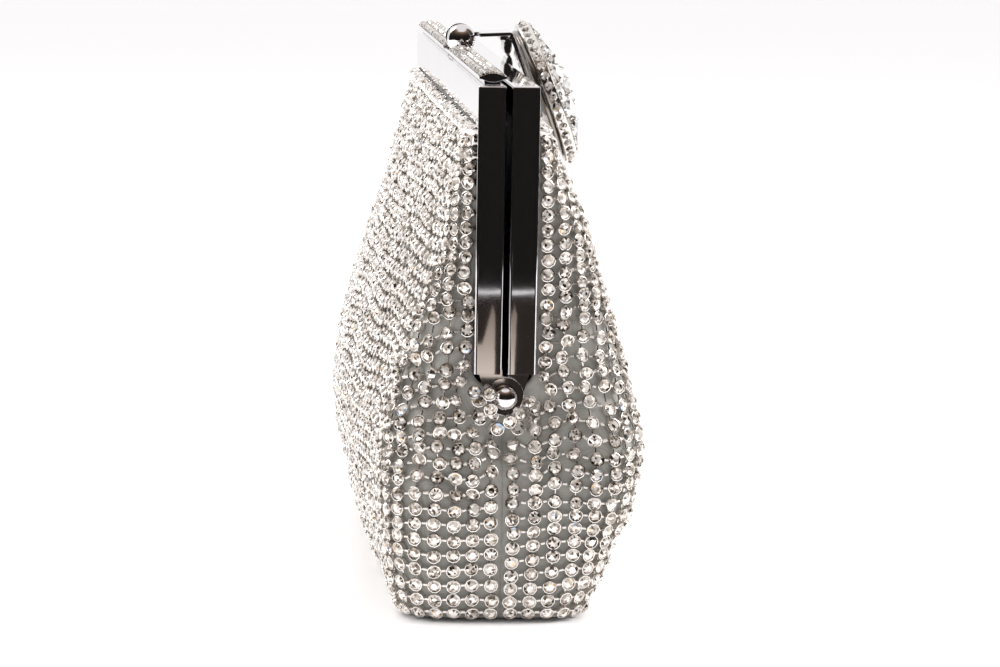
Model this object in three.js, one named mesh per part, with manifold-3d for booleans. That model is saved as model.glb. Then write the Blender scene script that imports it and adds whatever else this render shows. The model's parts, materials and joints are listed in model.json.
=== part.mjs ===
// Evening bag: a soft pouch covered with crystal mesh, hung between two polished half frames.
// Each half frame is an upside-down U of box channel. The two share one rivet at each end, so the
// bag opens like a book. A flap clasp with a flower brooch is hinged on the back bar inside a
// split ball, reaches over both bars and snaps in front of the front one.
// Millimetres. X runs along the bag, +Y is its back, +Z is up, and the origin is the middle of
// the base. The brooch faces -Y.
import * as THREE from 'three';
import { mergeVertices } from 'three/addons/utils/BufferGeometryUtils.js';
import Module from 'manifold-3d';

const manifoldLibrary = await Module();
manifoldLibrary.setup();

// ---------------------------------------------------------------- driving dimensions
const CLEARANCE = 0.3; // gap between pieces that touch or run on each other

// the half frames
const FRAME_LENGTH = 190;
const FRAME_THICKNESS = 5.75; // across the bag, each half
const FRAME_GAP = 1.1; // between the two closed halves
const FRAME_TOP = 109.5;
const BAR_HEIGHT = 7.9;
const LEG_DEPTH = 10; // along the bag
const LEG_BOTTOM = 51;
const FRAME_CORNER = 1.6;
const FRAME_EDGE = 0.55; // bevel round the channel's edges
const CHANNEL_WALL = 1.3;
const GROOVE_WIDTH = 3.5;
const CORD_WIDTH = 2.4; // the packing cord that wedges the cloth into the groove

// the hinge at each end
const HINGE_HEIGHT = 46.5;
const OPEN_DEGREES = 26; // how far each half swings out
const LUG_RADIUS = 4;
const LUG_THICKNESS = 1.4;
const LUG_HOLE = 1.5;
const RIVET_SHANK = 1.2;
const RIVET_BALL = 2.42;
const BACKING_THICKNESS = 0.8;
const HINGE_NOTCH = 6.4; // relief in the pouch round the lugs

// the pouch
const MESH_THICKNESS = 1.8; // crystal mesh on its backing cloth
const LINING_THICKNESS = 0.8;
const BOARD_THICKNESS = 2;
const POUCH_CORNER = 11; // corner radius seen from above
const POUCH_TOP = 46; // where the fixed lower pouch ends
const SEAM_DEGREES = OPEN_DEGREES + 1.5; // lower edge of the swinging panels, above level
// [height, half depth] at the middle of the bag and at its ends
const MIDDLE_DEPTHS = [
  [0, 19.5], [3, 22], [10, 24.4], [18, 27.4], [26, 30], [33, 31], [40, 30.4], [47, 29],
  [56, 26.8], [67, 23.3], [78, 19.4], [84, 17.2], [92, 13.6], [101.6, 8],
];
const END_DEPTHS = [
  [0, 18.3], [3, 19.8], [10, 21.8], [18, 24.3], [26, 26.3], [33, 26.5], [40, 25.2], [47, 23.7],
  [56, 21.6], [67, 18.2], [78, 14.8], [84, 12.8], [92, 10.2], [101.6, 7.8],
];
const HALF_LENGTHS = [
  [0, 93], [3, 94.8], [18, 96.4], [26, 96.9], [33, 96.7], [40, 95.4], [47, 93.6], [56, 93],
  [101.6, 92],
];

// the crystal trim along the back bar
const TRIM_WIDTH = 5.6;
const TRIM_THICKNESS = 1.8;
const TRIM_LIFT = 0.7; // air between the trim and the bar
const TRIM_INNER_END = 7; // distance of each trim bar from the middle

// the clasp
const BARREL_Y = 2.9;
const BARREL_Z = 113.6;
const PIN_RADIUS = 0.8;
const KNUCKLE_RADIUS = 1.7;
const KNUCKLE_HALF_LENGTH = 1.9;
const BALL_RADIUS = 3.2; // a ball split in two halves, with the flap's knuckle between them
const BALL_FOOT_WIDTH = 2.6;
const BASE_HALF_LENGTH = 6.4;
const PLATE_THICKNESS = 1;
const PLATE_HALF_WIDTH = 5.6;
const PLATE_FRONT = -8.2; // outer corner of the flap
const FLAP_TILT = THREE.MathUtils.degToRad(21); // lean of the flap's front leg
const FLAP_LEG = 20;
const CATCH_HALF_WIDTH = 4.4;

// the brooch
const BROOCH_RADIUS = 16.5;
const BROOCH_CENTRE = 15.5; // down the flap's leg from its corner
const BACK_PLATE_RADIUS = 15.2;
const RIM_WIDTH = 2.8;
const RIM_HEIGHT = 2.8;
const PETAL_COUNT = 8;
const PETAL_RING = 9.7;
const CENTRE_RADIUS = 5.2;
const BROOCH_HEIGHT = 9.6;
const RIVET_POST_X = 2.6; // two rivets hold the brooch to the flap

// ---------------------------------------------------------------- worked out from those
const HALF_LENGTH = FRAME_LENGTH / 2;
const FRAME_INNER_Y = FRAME_GAP / 2;
const FRAME_OUTER_Y = FRAME_INNER_Y + FRAME_THICKNESS;
const FRAME_MIDDLE_Y = (FRAME_INNER_Y + FRAME_OUTER_Y) / 2;
const BAR_UNDERSIDE = FRAME_TOP - BAR_HEIGHT;
const PANEL_TOP = BAR_UNDERSIDE - CLEARANCE;
const PANEL_EDGE_Y = FRAME_OUTER_Y + CLEARANCE;
const BACK_LUG_X = -HALF_LENGTH; // outer face of the back half's left lug
const FRONT_LUG_X = BACK_LUG_X + LUG_THICKNESS + CLEARANCE;
const LINING_INSET = MESH_THICKNESS + CLEARANCE;
const LINING_INNER = LINING_INSET + LINING_THICKNESS;
const BOARD_BOTTOM = MESH_THICKNESS + CLEARANCE;
const LINING_BOTTOM = BOARD_BOTTOM + BOARD_THICKNESS + CLEARANCE;
const PLATE_TOP = BARREL_Z + KNUCKLE_RADIUS;
const PLATE_UNDERSIDE = PLATE_TOP - PLATE_THICKNESS;

// ---------------------------------------------------------------- materials
function finish(color, roughness, metalness) {
  return new THREE.MeshStandardMaterial({ color, roughness, metalness });
}
const POLISHED_NICKEL = finish('#d5d5d8', 0.1, 1);
const CRYSTAL_MESH = finish('#c4c4c6', 0.35, 0.6);
const CRYSTAL = finish('#eef2f6', 0.05, 0);
const PAVE = finish('#dcdde0', 0.25, 0.7);
const SATIN_LINING = finish('#9a9a9e', 0.6, 0);
const CARD = finish('#8b8174', 0.9, 0);
const PAPER_CORD = finish('#cfc6b4', 0.9, 0);

// ---------------------------------------------------------------- shape helpers
const X = new THREE.Vector3(1, 0, 0);
const Y = new THREE.Vector3(0, 1, 0);
const Z = new THREE.Vector3(0, 0, 1);

// An outline drawn as (y, z), extruded along X.
function alongX(shape, xLow, xHigh, options = {}) {
  const settings = { depth: xHigh - xLow, bevelEnabled: false, curveSegments: 8, ...options };
  const geometry = new THREE.ExtrudeGeometry(shape, settings);
  geometry.applyMatrix4(new THREE.Matrix4().makeBasis(Y, Z, X));
  return geometry.translate(xLow, 0, 0);
}

// An outline drawn as (x, z), extruded along Y.
function alongY(shape, yLow, yHigh, options = {}) {
  const settings = { depth: yHigh - yLow, bevelEnabled: false, curveSegments: 4, ...options };
  const geometry = new THREE.ExtrudeGeometry(shape, settings);
  geometry.applyMatrix4(new THREE.Matrix4().makeBasis(X, Z, Y.clone().negate()));
  return geometry.translate(0, yHigh, 0);
}

function polygon(points) {
  return new THREE.Shape(points.map(([u, v]) => new THREE.Vector2(u, v)));
}

function box(low, high) {
  const size = high.map((value, axis) => value - low[axis]);
  const geometry = new THREE.BoxGeometry(...size);
  return geometry.translate(...low.map((value, axis) => value + size[axis] / 2));
}

// A turned piece: the profile's points are (radius, distance along the axis).
function turned(profile, segments = 24) {
  return new THREE.LatheGeometry(profile.map(([r, h]) => new THREE.Vector2(r, h)), segments);
}

// Stands a turned piece along +Z or +X; a lathe turns about Y.
const standing = (geometry) => geometry.rotateX(Math.PI / 2);
const lyingAlongX = (geometry) => geometry.rotateZ(-Math.PI / 2);

// Triangles whose corners merged into one another have no area, and are dropped.
function withoutSlivers(index) {
  const kept = [];
  for (let i = 0; i < index.length; i += 3) {
    const [a, b, c] = index.slice(i, i + 3);
    if (a !== b && b !== c && c !== a) kept.push(a, b, c);
  }
  return new Uint32Array(kept);
}

function toSolid(geometry) {
  const bare = geometry.clone();
  bare.deleteAttribute('normal');
  bare.deleteAttribute('uv');
  const merged = mergeVertices(bare, 1e-4);
  const vertProperties = new Float32Array(merged.getAttribute('position').array);
  const triVerts = withoutSlivers(merged.index.array);
  return new manifoldLibrary.Manifold(
    new manifoldLibrary.Mesh({ numProp: 3, vertProperties, triVerts }),
  );
}

function toGeometry(solid) {
  const mesh = solid.getMesh();
  const geometry = new THREE.BufferGeometry();
  geometry.setAttribute('position', new THREE.BufferAttribute(mesh.vertProperties, 3));
  geometry.setIndex(new THREE.BufferAttribute(mesh.triVerts, 1));
  geometry.computeVertexNormals();
  return geometry;
}

function cut(geometry, ...tools) {
  return toGeometry(tools.reduce((rest, tool) => rest.subtract(toSolid(tool)), toSolid(geometry)));
}

function join(geometry, ...others) {
  return toGeometry(others.reduce((sum, other) => sum.add(toSolid(other)), toSolid(geometry)));
}

function keepInside(geometry, region) {
  return toGeometry(toSolid(geometry).intersect(toSolid(region)));
}

function add(group, name, geometry, material) {
  const mesh = new THREE.Mesh(geometry, material);
  mesh.name = name;
  group.add(mesh);
  return mesh;
}

// ---------------------------------------------------------------- the pouch's outer form
// Value of a [height, value] outline at a height.
function outlineAt(outline, height) {
  const last = outline.length - 1;
  const next = outline.findIndex(([z]) => z > height);
  const upper = next === -1 ? last : Math.max(next, 1);
  const [z0, v0] = outline[upper - 1];
  const [z1, v1] = outline[upper];
  return THREE.MathUtils.mapLinear(THREE.MathUtils.clamp(height, z0, z1), z0, z1, v0, v1);
}

// Half depth of the pouch at a place along it; the long sides bow out between the ends.
function halfDepthAt(x, z) {
  const bow = 1 - (x / outlineAt(HALF_LENGTHS, z)) ** 2;
  return THREE.MathUtils.lerp(outlineAt(END_DEPTHS, z), outlineAt(MIDDLE_DEPTHS, z), bow);
}

// A closed solid of the pouch's form, set in from its outside by an even amount. It starts as a
// plain cylinder with a ring at each height of the outline. Each quarter of every ring then
// becomes a rounded corner of the plan and half of a long side.
function pouchForm(inset, zLow, zHigh) {
  const perCorner = 6;
  const perSide = 3;
  const perQuarter = perCorner + perSide;
  const ring = 4 * perQuarter;
  const between = MIDDLE_DEPTHS.map(([z]) => z).filter((z) => z > zLow && z < zHigh);
  const heights = [zLow, ...between, zHigh];
  const steps = heights.length - 1;
  const geometry = new THREE.CylinderGeometry(1, 1, 1, ring, steps, false, Math.PI / ring);
  const position = geometry.getAttribute('position');
  for (let i = 0; i < position.count; i += 1) {
    const across = position.getX(i);
    const along = position.getZ(i);
    const z = heights[Math.round((position.getY(i) + 0.5) * steps)];
    if (Math.hypot(across, along) < 0.5) {
      position.setXYZ(i, 0, 0, z); // the middle of an end cap
      continue;
    }
    const outerCorner = Math.min(POUCH_CORNER, outlineAt(END_DEPTHS, z) * 0.85);
    const straight = outlineAt(HALF_LENGTHS, z) - outerCorner; // from the middle to the corner
    const corner = outerCorner - inset;
    const quarter = Math.atan2(Math.abs(along), Math.abs(across)) / (Math.PI / 2);
    const place = Math.round(quarter * perQuarter - 0.5);
    const turn = (Math.min(place / (perCorner - 1), 1) * Math.PI) / 2;
    const alongSide = Math.max(place - perCorner + 1, 0) / (perSide + 0.5);
    const plainX = straight * (1 - alongSide);
    const x = plainX + corner * Math.cos(turn);
    const y = halfDepthAt(plainX, z) - outerCorner + corner * Math.sin(turn);
    position.setXYZ(i, Math.sign(across) * x, -Math.sign(along) * y, z);
  }
  return geometry;
}

// Height of the swinging panels' lower edge, which fans out from the hinge axis.
const seamHeight = (y) => HINGE_HEIGHT + y * Math.tan(THREE.MathUtils.degToRad(SEAM_DEGREES));

// A layer of the back panel: the pouch's wall above the seam and behind the frame's leg.
function panelLayer(outerInset, innerInset) {
  const reach = 40;
  const region = alongX(polygon([
    [PANEL_EDGE_Y, seamHeight(PANEL_EDGE_Y)],
    [reach, seamHeight(reach)],
    [reach, PANEL_TOP],
    [PANEL_EDGE_Y, PANEL_TOP],
  ]), -HALF_LENGTH - 5, HALF_LENGTH + 5);
  const outer = pouchForm(outerInset, POUCH_TOP, BAR_UNDERSIDE + 1);
  const inner = pouchForm(innerInset, POUCH_TOP - 1, BAR_UNDERSIDE + 2);
  return keepInside(cut(outer, inner), region);
}

// The soft band that joins the fixed pouch to a swinging panel, and crumples as it opens.
function flexBand() {
  const reach = 40;
  const bottom = POUCH_TOP + CLEARANCE;
  const region = alongX(polygon([
    [PANEL_EDGE_Y, bottom],
    [reach, bottom],
    [reach, seamHeight(reach) - 2 * CLEARANCE],
    [PANEL_EDGE_Y, seamHeight(PANEL_EDGE_Y) - 2 * CLEARANCE],
  ]), -HALF_LENGTH - 5, HALF_LENGTH + 5);
  const outer = pouchForm(0, POUCH_TOP - 1, BAR_UNDERSIDE);
  const inner = pouchForm(MESH_THICKNESS, POUCH_TOP - 2, BAR_UNDERSIDE + 1);
  return keepInside(cut(outer, inner), region);
}

function hingeNotch() {
  const length = 2 * HALF_LENGTH + 20;
  const roller = new THREE.CylinderGeometry(HINGE_NOTCH, HINGE_NOTCH, length, 24);
  const middle = new THREE.BoxGeometry(2 * (HALF_LENGTH - 12), 3 * HINGE_NOTCH, 3 * HINGE_NOTCH);
  const ends = cut(lyingAlongX(roller), middle);
  return ends.translate(0, 0, HINGE_HEIGHT);
}

// ---------------------------------------------------------------- lower pouch
function addLowerPouch(group) {
  const shell = cut(
    pouchForm(0, 0, POUCH_TOP),
    pouchForm(MESH_THICKNESS, MESH_THICKNESS, POUCH_TOP + 1),
    hingeNotch(),
  );
  add(group, 'lower_pouch', shell, CRYSTAL_MESH);

  const lining = cut(
    pouchForm(LINING_INSET, LINING_BOTTOM, POUCH_TOP),
    pouchForm(LINING_INNER, LINING_BOTTOM + LINING_THICKNESS, POUCH_TOP + 1),
    hingeNotch(),
  );
  add(group, 'lower_lining', lining, SATIN_LINING);

  const boardTop = BOARD_BOTTOM + BOARD_THICKNESS;
  const board = pouchForm(LINING_INSET + 1, BOARD_BOTTOM, boardTop);
  add(group, 'base_board', board, CARD);
}

// ---------------------------------------------------------------- hinge rivets
// Outer face of the left backing plate, just inside the lining's end wall.
const backingPlateFace = () => (
  LINING_INNER + CLEARANCE - outlineAt(HALF_LENGTHS, POUCH_TOP)
);

// Built for the left end, with the rivet's axis along X. The right end is the same piece turned
// half round about Z.
function rivetGeometry() {
  const headBase = BACK_LUG_X - CLEARANCE;
  const flangeFace = backingPlateFace() + BACKING_THICKNESS + CLEARANCE;
  const flangeEnd = flangeFace + 0.8;
  const ballTurn = Math.asin(0.78); // where the ball is cut flat against the lug
  const ballCentre = headBase - RIVET_BALL * Math.cos(ballTurn);
  const profile = [[0, ballCentre - RIVET_BALL]];
  const steps = 6;
  for (let i = 1; i <= steps; i += 1) {
    const turn = ((Math.PI - ballTurn) * i) / steps;
    profile.push([RIVET_BALL * Math.sin(turn), ballCentre - RIVET_BALL * Math.cos(turn)]);
  }
  profile.push([RIVET_SHANK, headBase], [RIVET_SHANK, flangeFace]);
  profile.push([2.2, flangeFace], [2.2, flangeEnd], [0, flangeEnd]);
  return lyingAlongX(turned(profile, 16));
}

// The backing plate spreads the rivet's pull over the pouch's inside, below the frame's legs.
function backingPlateGeometry() {
  const face = backingPlateFace();
  const shape = new THREE.Shape();
  shape.absarc(0, 0, 8.4, Math.PI, 2 * Math.PI, false);
  shape.lineTo(LUG_RADIUS, 0);
  shape.absarc(0, 0, LUG_RADIUS, 0, Math.PI, false);
  shape.closePath();
  const hole = new THREE.Path();
  hole.absarc(0, 0, LUG_HOLE, 0, 2 * Math.PI, true);
  shape.holes.push(hole);
  return alongX(shape, face, face + BACKING_THICKNESS);
}

function addHingeEnds(group) {
  const ends = { left: 0, right: Math.PI };
  for (const [side, turn] of Object.entries(ends)) {
    const end = new THREE.Group();
    end.position.z = HINGE_HEIGHT;
    end.rotation.z = turn;
    add(end, `${side}_hinge_rivet`, rivetGeometry(), POLISHED_NICKEL);
    add(end, `${side}_hinge_backing_plate`, backingPlateGeometry(), POLISHED_NICKEL);
    group.add(end);
  }
}

// ---------------------------------------------------------------- half frame, built as the back one
// Upside-down U seen from the back, as (x, z).
function frameOutline(sideInset, topInset, bottom, legDepth, barHeight, corner) {
  const outerX = HALF_LENGTH - sideInset;
  const innerX = outerX - legDepth;
  const top = FRAME_TOP - topInset;
  const shape = new THREE.Shape();
  shape.moveTo(-outerX, bottom);
  shape.lineTo(-outerX + legDepth, bottom);
  shape.lineTo(-innerX, top - barHeight);
  shape.lineTo(innerX, top - barHeight);
  shape.lineTo(innerX, bottom);
  shape.lineTo(outerX, bottom);
  shape.lineTo(outerX, top - corner);
  shape.absarc(outerX - corner, top - corner, corner, 0, Math.PI / 2, false);
  shape.lineTo(-outerX + corner, top);
  shape.absarc(-outerX + corner, top - corner, corner, Math.PI / 2, Math.PI, false);
  shape.closePath();
  return shape;
}

// One lug as (y, z): a round eye on the hinge axis with a neck up to the leg.
function lugOutline() {
  const neckTop = LEG_BOTTOM + 1;
  const heel = -Math.PI / 9; // where the neck's outer side runs into the eye
  const toe = Math.acos(FRAME_INNER_Y / LUG_RADIUS);
  const shape = new THREE.Shape();
  shape.absarc(0, HINGE_HEIGHT, LUG_RADIUS, toe, 2 * Math.PI + heel, false);
  shape.quadraticCurveTo(FRAME_OUTER_Y - 1.2, HINGE_HEIGHT + 1.6, FRAME_OUTER_Y - 0.8, neckTop);
  shape.lineTo(FRAME_INNER_Y, neckTop);
  shape.closePath();
  const hole = new THREE.Path();
  hole.absarc(0, HINGE_HEIGHT, LUG_HOLE, 0, 2 * Math.PI, true);
  shape.holes.push(hole);
  return shape;
}

function frameGeometry(lugX) {
  const bevel = { bevelEnabled: true, bevelSize: FRAME_EDGE, bevelThickness: FRAME_EDGE };
  const outline = frameOutline(
    FRAME_EDGE, FRAME_EDGE, LEG_BOTTOM + FRAME_EDGE,
    LEG_DEPTH - 2 * FRAME_EDGE, BAR_HEIGHT - 2 * FRAME_EDGE, FRAME_CORNER,
  );
  const rail = alongY(
    outline, FRAME_INNER_Y, FRAME_OUTER_Y - 2 * FRAME_EDGE, { ...bevel, bevelSegments: 2 },
  );
  rail.translate(0, FRAME_EDGE, 0);
  const groove = box(
    [-HALF_LENGTH + CHANNEL_WALL, FRAME_MIDDLE_Y - GROOVE_WIDTH / 2, LEG_BOTTOM + CHANNEL_WALL],
    [HALF_LENGTH - CHANNEL_WALL, FRAME_MIDDLE_Y + GROOVE_WIDTH / 2, FRAME_TOP - CHANNEL_WALL],
  );
  const leftLug = alongX(lugOutline(), lugX, lugX + LUG_THICKNESS);
  const rightLug = alongX(lugOutline(), -lugX - LUG_THICKNESS, -lugX);
  return join(cut(rail, groove), leftLug, rightLug);
}

// The cord lies at the bottom of the groove, all the way round the U.
function packingCordGeometry() {
  const side = CHANNEL_WALL + CLEARANCE;
  const outline = frameOutline(
    side, side, LEG_BOTTOM + CHANNEL_WALL + CLEARANCE, CORD_WIDTH, CORD_WIDTH, 1,
  );
  const low = FRAME_MIDDLE_Y - CORD_WIDTH / 2;
  return alongY(outline, low, low + CORD_WIDTH);
}

function addHalf(group, side, lugX) {
  add(group, `${side}_frame`, frameGeometry(lugX), POLISHED_NICKEL);
  add(group, `${side}_packing_cord`, packingCordGeometry(), PAPER_CORD);
  add(group, `${side}_panel`, panelLayer(0, MESH_THICKNESS), CRYSTAL_MESH);
  add(group, `${side}_lining`, panelLayer(LINING_INSET, LINING_INNER), SATIN_LINING);
}

// ---------------------------------------------------------------- trim and clasp seat on the back bar
// Lens-shaped strip that carries the rows of stones, on two low feet.
function trimBarGeometry() {
  const low = FRAME_TOP + TRIM_LIFT;
  const half = TRIM_WIDTH / 2;
  const lens = new THREE.Shape();
  lens.moveTo(FRAME_MIDDLE_Y - half, low + TRIM_THICKNESS * 0.35);
  lens.quadraticCurveTo(FRAME_MIDDLE_Y, low - TRIM_THICKNESS * 0.25,
    FRAME_MIDDLE_Y + half, low + TRIM_THICKNESS * 0.35);
  lens.quadraticCurveTo(FRAME_MIDDLE_Y, low + TRIM_THICKNESS * 1.65,
    FRAME_MIDDLE_Y - half, low + TRIM_THICKNESS * 0.35);
  const strip = alongX(lens, -HALF_LENGTH, -TRIM_INNER_END);
  const feet = [-HALF_LENGTH + 14, -TRIM_INNER_END - 14].map((x) => box(
    [x - 2, FRAME_MIDDLE_Y - 1.2, FRAME_TOP + CLEARANCE],
    [x + 2, FRAME_MIDDLE_Y + 1.2, low + TRIM_THICKNESS / 2],
  ));
  return join(strip, ...feet);
}

const pinHalfLength = KNUCKLE_HALF_LENGTH + CLEARANCE + 1.6;

// The plate that the ball halves stand on.
const baseTop = FRAME_TOP + CLEARANCE + 0.6;
const claspBracketGeometry = () => box(
  [-BASE_HALF_LENGTH, BARREL_Y - 2.2, FRAME_TOP + CLEARANCE],
  [BASE_HALF_LENGTH, BARREL_Y + 2.2, baseTop],
);

// The left half of the ball, with its foot and the socket for the pin's end.
function ballHalfGeometry() {
  const flatX = -KNUCKLE_HALF_LENGTH - CLEARANCE;
  const ball = new THREE.SphereGeometry(BALL_RADIUS, 20, 12).translate(flatX, 0, 0);
  const innerHalf = box([flatX, -5, -5], [10, 5, 5]);
  const socket = new THREE.CylinderGeometry(
    PIN_RADIUS + CLEARANCE, PIN_RADIUS + CLEARANCE, 2 * pinHalfLength + 2 * CLEARANCE, 12,
  );
  const foot = box(
    [flatX - BALL_FOOT_WIDTH, -BALL_FOOT_WIDTH / 2, baseTop + CLEARANCE - BARREL_Z],
    [flatX, BALL_FOOT_WIDTH / 2, -BALL_RADIUS / 2],
  );
  return cut(join(cut(ball, innerHalf), foot), lyingAlongX(socket));
}

function addBackBarFittings(group) {
  add(group, 'left_trim_bar', trimBarGeometry(), PAVE);
  const rightTrim = add(group, 'right_trim_bar', trimBarGeometry(), PAVE);
  rightTrim.position.y = 2 * FRAME_MIDDLE_Y;
  rightTrim.rotation.z = Math.PI;
  add(group, 'clasp_bracket', claspBracketGeometry(), POLISHED_NICKEL);

  const pin = new THREE.CylinderGeometry(PIN_RADIUS, PIN_RADIUS, 2 * pinHalfLength, 16);
  add(group, 'clasp_hinge_pin', lyingAlongX(pin), POLISHED_NICKEL)
    .position.set(0, BARREL_Y, BARREL_Z);
  for (const [name, turn] of [['left_ball_finial', 0], ['right_ball_finial', Math.PI]]) {
    const half = add(group, name, ballHalfGeometry(), POLISHED_NICKEL);
    half.position.set(0, BARREL_Y, BARREL_Z);
    half.rotation.z = turn;
  }
}

// ---------------------------------------------------------------- clasp flap
// Point on the outer face of the flap's leaning front leg, down from its corner, as [y, z].
function downLeg(distance, inward = 0) {
  const y = PLATE_FRONT - distance * Math.sin(FLAP_TILT) + inward * Math.cos(FLAP_TILT);
  const z = PLATE_TOP - distance * Math.cos(FLAP_TILT) - inward * Math.sin(FLAP_TILT);
  return [y, z];
}

function claspPlateGeometry() {
  const ballClear = BARREL_Y - BALL_RADIUS - 2 * CLEARANCE;
  const bend = 1.4;
  const plate = new THREE.Shape();
  plate.moveTo(ballClear, PLATE_TOP);
  plate.lineTo(PLATE_FRONT + bend, PLATE_TOP);
  plate.quadraticCurveTo(PLATE_FRONT, PLATE_TOP, ...downLeg(bend));
  plate.lineTo(...downLeg(FLAP_LEG));
  plate.lineTo(...downLeg(FLAP_LEG, PLATE_THICKNESS));
  plate.lineTo(...downLeg(PLATE_THICKNESS + 0.6, PLATE_THICKNESS));
  plate.lineTo(PLATE_FRONT + PLATE_THICKNESS + 0.8, PLATE_UNDERSIDE);
  plate.lineTo(ballClear, PLATE_UNDERSIDE);
  plate.closePath();
  const tail = polygon([
    [BARREL_Y, PLATE_TOP],
    [ballClear - 0.5, PLATE_TOP],
    [ballClear - 0.5, PLATE_UNDERSIDE],
    [BARREL_Y, PLATE_UNDERSIDE],
  ]);
  const length = 2 * KNUCKLE_HALF_LENGTH;
  const barrel = new THREE.CylinderGeometry(KNUCKLE_RADIUS, KNUCKLE_RADIUS, length, 24);
  const bore = new THREE.CylinderGeometry(
    PIN_RADIUS + CLEARANCE, PIN_RADIUS + CLEARANCE, length + 2, 24,
  );
  const rivetHoles = [-RIVET_POST_X, RIVET_POST_X].map((x) => onLeg(
    standing(new THREE.CylinderGeometry(1.2, 1.2, 6, 10)).translate(x, 0, 0),
  ));
  return cut(
    join(
      alongX(plate, -PLATE_HALF_WIDTH, PLATE_HALF_WIDTH),
      alongX(tail, -KNUCKLE_HALF_LENGTH, KNUCKLE_HALF_LENGTH),
      lyingAlongX(barrel).translate(0, BARREL_Y, BARREL_Z),
    ),
    lyingAlongX(bore).translate(0, BARREL_Y, BARREL_Z),
    ...rivetHoles,
  );
}

// The catch: a springy tongue under the flap whose rolled nose rests over the front bar's edge.
function springCatchGeometry() {
  const top = PLATE_UNDERSIDE - CLEARANCE;
  const strip = 0.8;
  const nose = 1.15;
  const noseY = -7.1;
  const noseZ = FRAME_TOP + CLEARANCE + nose;
  const shape = new THREE.Shape();
  shape.moveTo(-1.5, top);
  shape.lineTo(noseY + 1.1, top);
  shape.lineTo(noseY - 0.1, top - 0.75);
  shape.lineTo(noseY - nose, noseZ);
  shape.absarc(noseY, noseZ, nose, Math.PI, 2.25 * Math.PI, false);
  shape.lineTo(noseY + 0.5, noseZ + 0.9);
  shape.lineTo(noseY + 1.6, top - strip);
  shape.lineTo(-1.5, top - strip);
  shape.closePath();
  return alongX(shape, -CATCH_HALF_WIDTH, CATCH_HALF_WIDTH, { curveSegments: 6 });
}

// ---------------------------------------------------------------- brooch
// Places a geometry whose +Z is the brooch's outward direction on the flap's leg.
function onLeg(geometry) {
  const [y, z] = downLeg(BROOCH_CENTRE);
  return geometry.rotateX(Math.PI / 2 - FLAP_TILT).translate(0, y, z);
}

function broochBackPlate() {
  const plate = standing(new THREE.CylinderGeometry(BACK_PLATE_RADIUS, BACK_PLATE_RADIUS, 1, 32));
  plate.translate(0, 0, CLEARANCE + 0.5);
  const holes = [-RIVET_POST_X, RIVET_POST_X].map(
    (x) => standing(new THREE.CylinderGeometry(1.2, 1.2, 6, 10)).translate(x, 0, 0),
  );
  return cut(plate, ...holes);
}

function broochRim(low) {
  const inner = BROOCH_RADIUS - RIM_WIDTH;
  const middle = BROOCH_RADIUS - RIM_WIDTH / 2;
  const profile = [
    [inner, low], [BROOCH_RADIUS - 0.5, low], [BROOCH_RADIUS, low + RIM_HEIGHT * 0.4],
    [BROOCH_RADIUS - 0.4, low + RIM_HEIGHT * 0.8], [middle, low + RIM_HEIGHT],
    [inner + 0.3, low + RIM_HEIGHT * 0.8], [inner, low],
  ];
  return standing(turned(profile, 32));
}

// An oval cut stone: a flat table, a wide girdle and a shorter pavilion underneath.
function cutStone(girdle, height) {
  return standing(turned([
    [0, 0], [girdle * 0.75, 0.15 * height], [girdle, height * 0.45],
    [girdle * 0.85, height * 0.75], [girdle * 0.5, height], [0, height],
  ], 12));
}

function brooch() {
  const group = new THREE.Group();
  const [y, z] = downLeg(BROOCH_CENTRE);
  group.position.set(0, y, z);
  group.rotation.x = Math.PI / 2 - FLAP_TILT;
  const seat = 2 * CLEARANCE + 1; // front of the back plate, with its gap
  add(group, 'brooch_back_plate', broochBackPlate(), POLISHED_NICKEL);
  add(group, 'brooch_rim', broochRim(seat), PAVE);

  for (let i = 0; i < PETAL_COUNT; i += 1) {
    const petal = add(group, `brooch_petal_${i + 1}`, cutStone(2.9, 4.6), CRYSTAL);
    const turn = (2 * Math.PI * (i + 0.5)) / PETAL_COUNT;
    petal.position.set(PETAL_RING * Math.cos(turn), PETAL_RING * Math.sin(turn), seat);
    petal.rotation.z = turn;
    petal.scale.set(1.25, 1, 1);
  }

  const cupHeight = 4.4;
  const cup = turned([
    [0, 0], [4.6, 0], [CENTRE_RADIUS, cupHeight], [CENTRE_RADIUS - 0.6, cupHeight],
    [CENTRE_RADIUS - 1.4, cupHeight - 1.4], [0, cupHeight - 1.4],
  ], 24);
  add(group, 'brooch_centre_cup', standing(cup), POLISHED_NICKEL).position.z = seat;
  const stoneLow = seat + cupHeight - 1.4 + CLEARANCE;
  const centreStone = turned([
    [0, 0], [2.4, 0], [3.2, 1.2], [CENTRE_RADIUS - 0.2, 1.9], [4.2, 3],
    [2.6, BROOCH_HEIGHT - stoneLow], [0, BROOCH_HEIGHT - stoneLow],
  ], 16);
  add(group, 'brooch_centre_stone', standing(centreStone), CRYSTAL).position.z = stoneLow;

  const head = -PLATE_THICKNESS - CLEARANCE;
  const rivet = turned([
    [0, head - 0.7], [1.4, head - 0.7], [1.8, head], [0.9, head], [0.9, CLEARANCE + 1],
    [0, CLEARANCE + 1],
  ], 10);
  for (const [name, x] of [['left', -RIVET_POST_X], ['right', RIVET_POST_X]]) {
    add(group, `brooch_rivet_${name}`, standing(rivet.clone()), POLISHED_NICKEL).position.x = x;
  }
  return group;
}

function addClasp(group) {
  add(group, 'clasp_plate', claspPlateGeometry(), POLISHED_NICKEL);
  add(group, 'spring_catch', springCatchGeometry(), POLISHED_NICKEL);
  group.add(brooch());
}

// ---------------------------------------------------------------- the bag
const bag = new THREE.Group();

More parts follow.
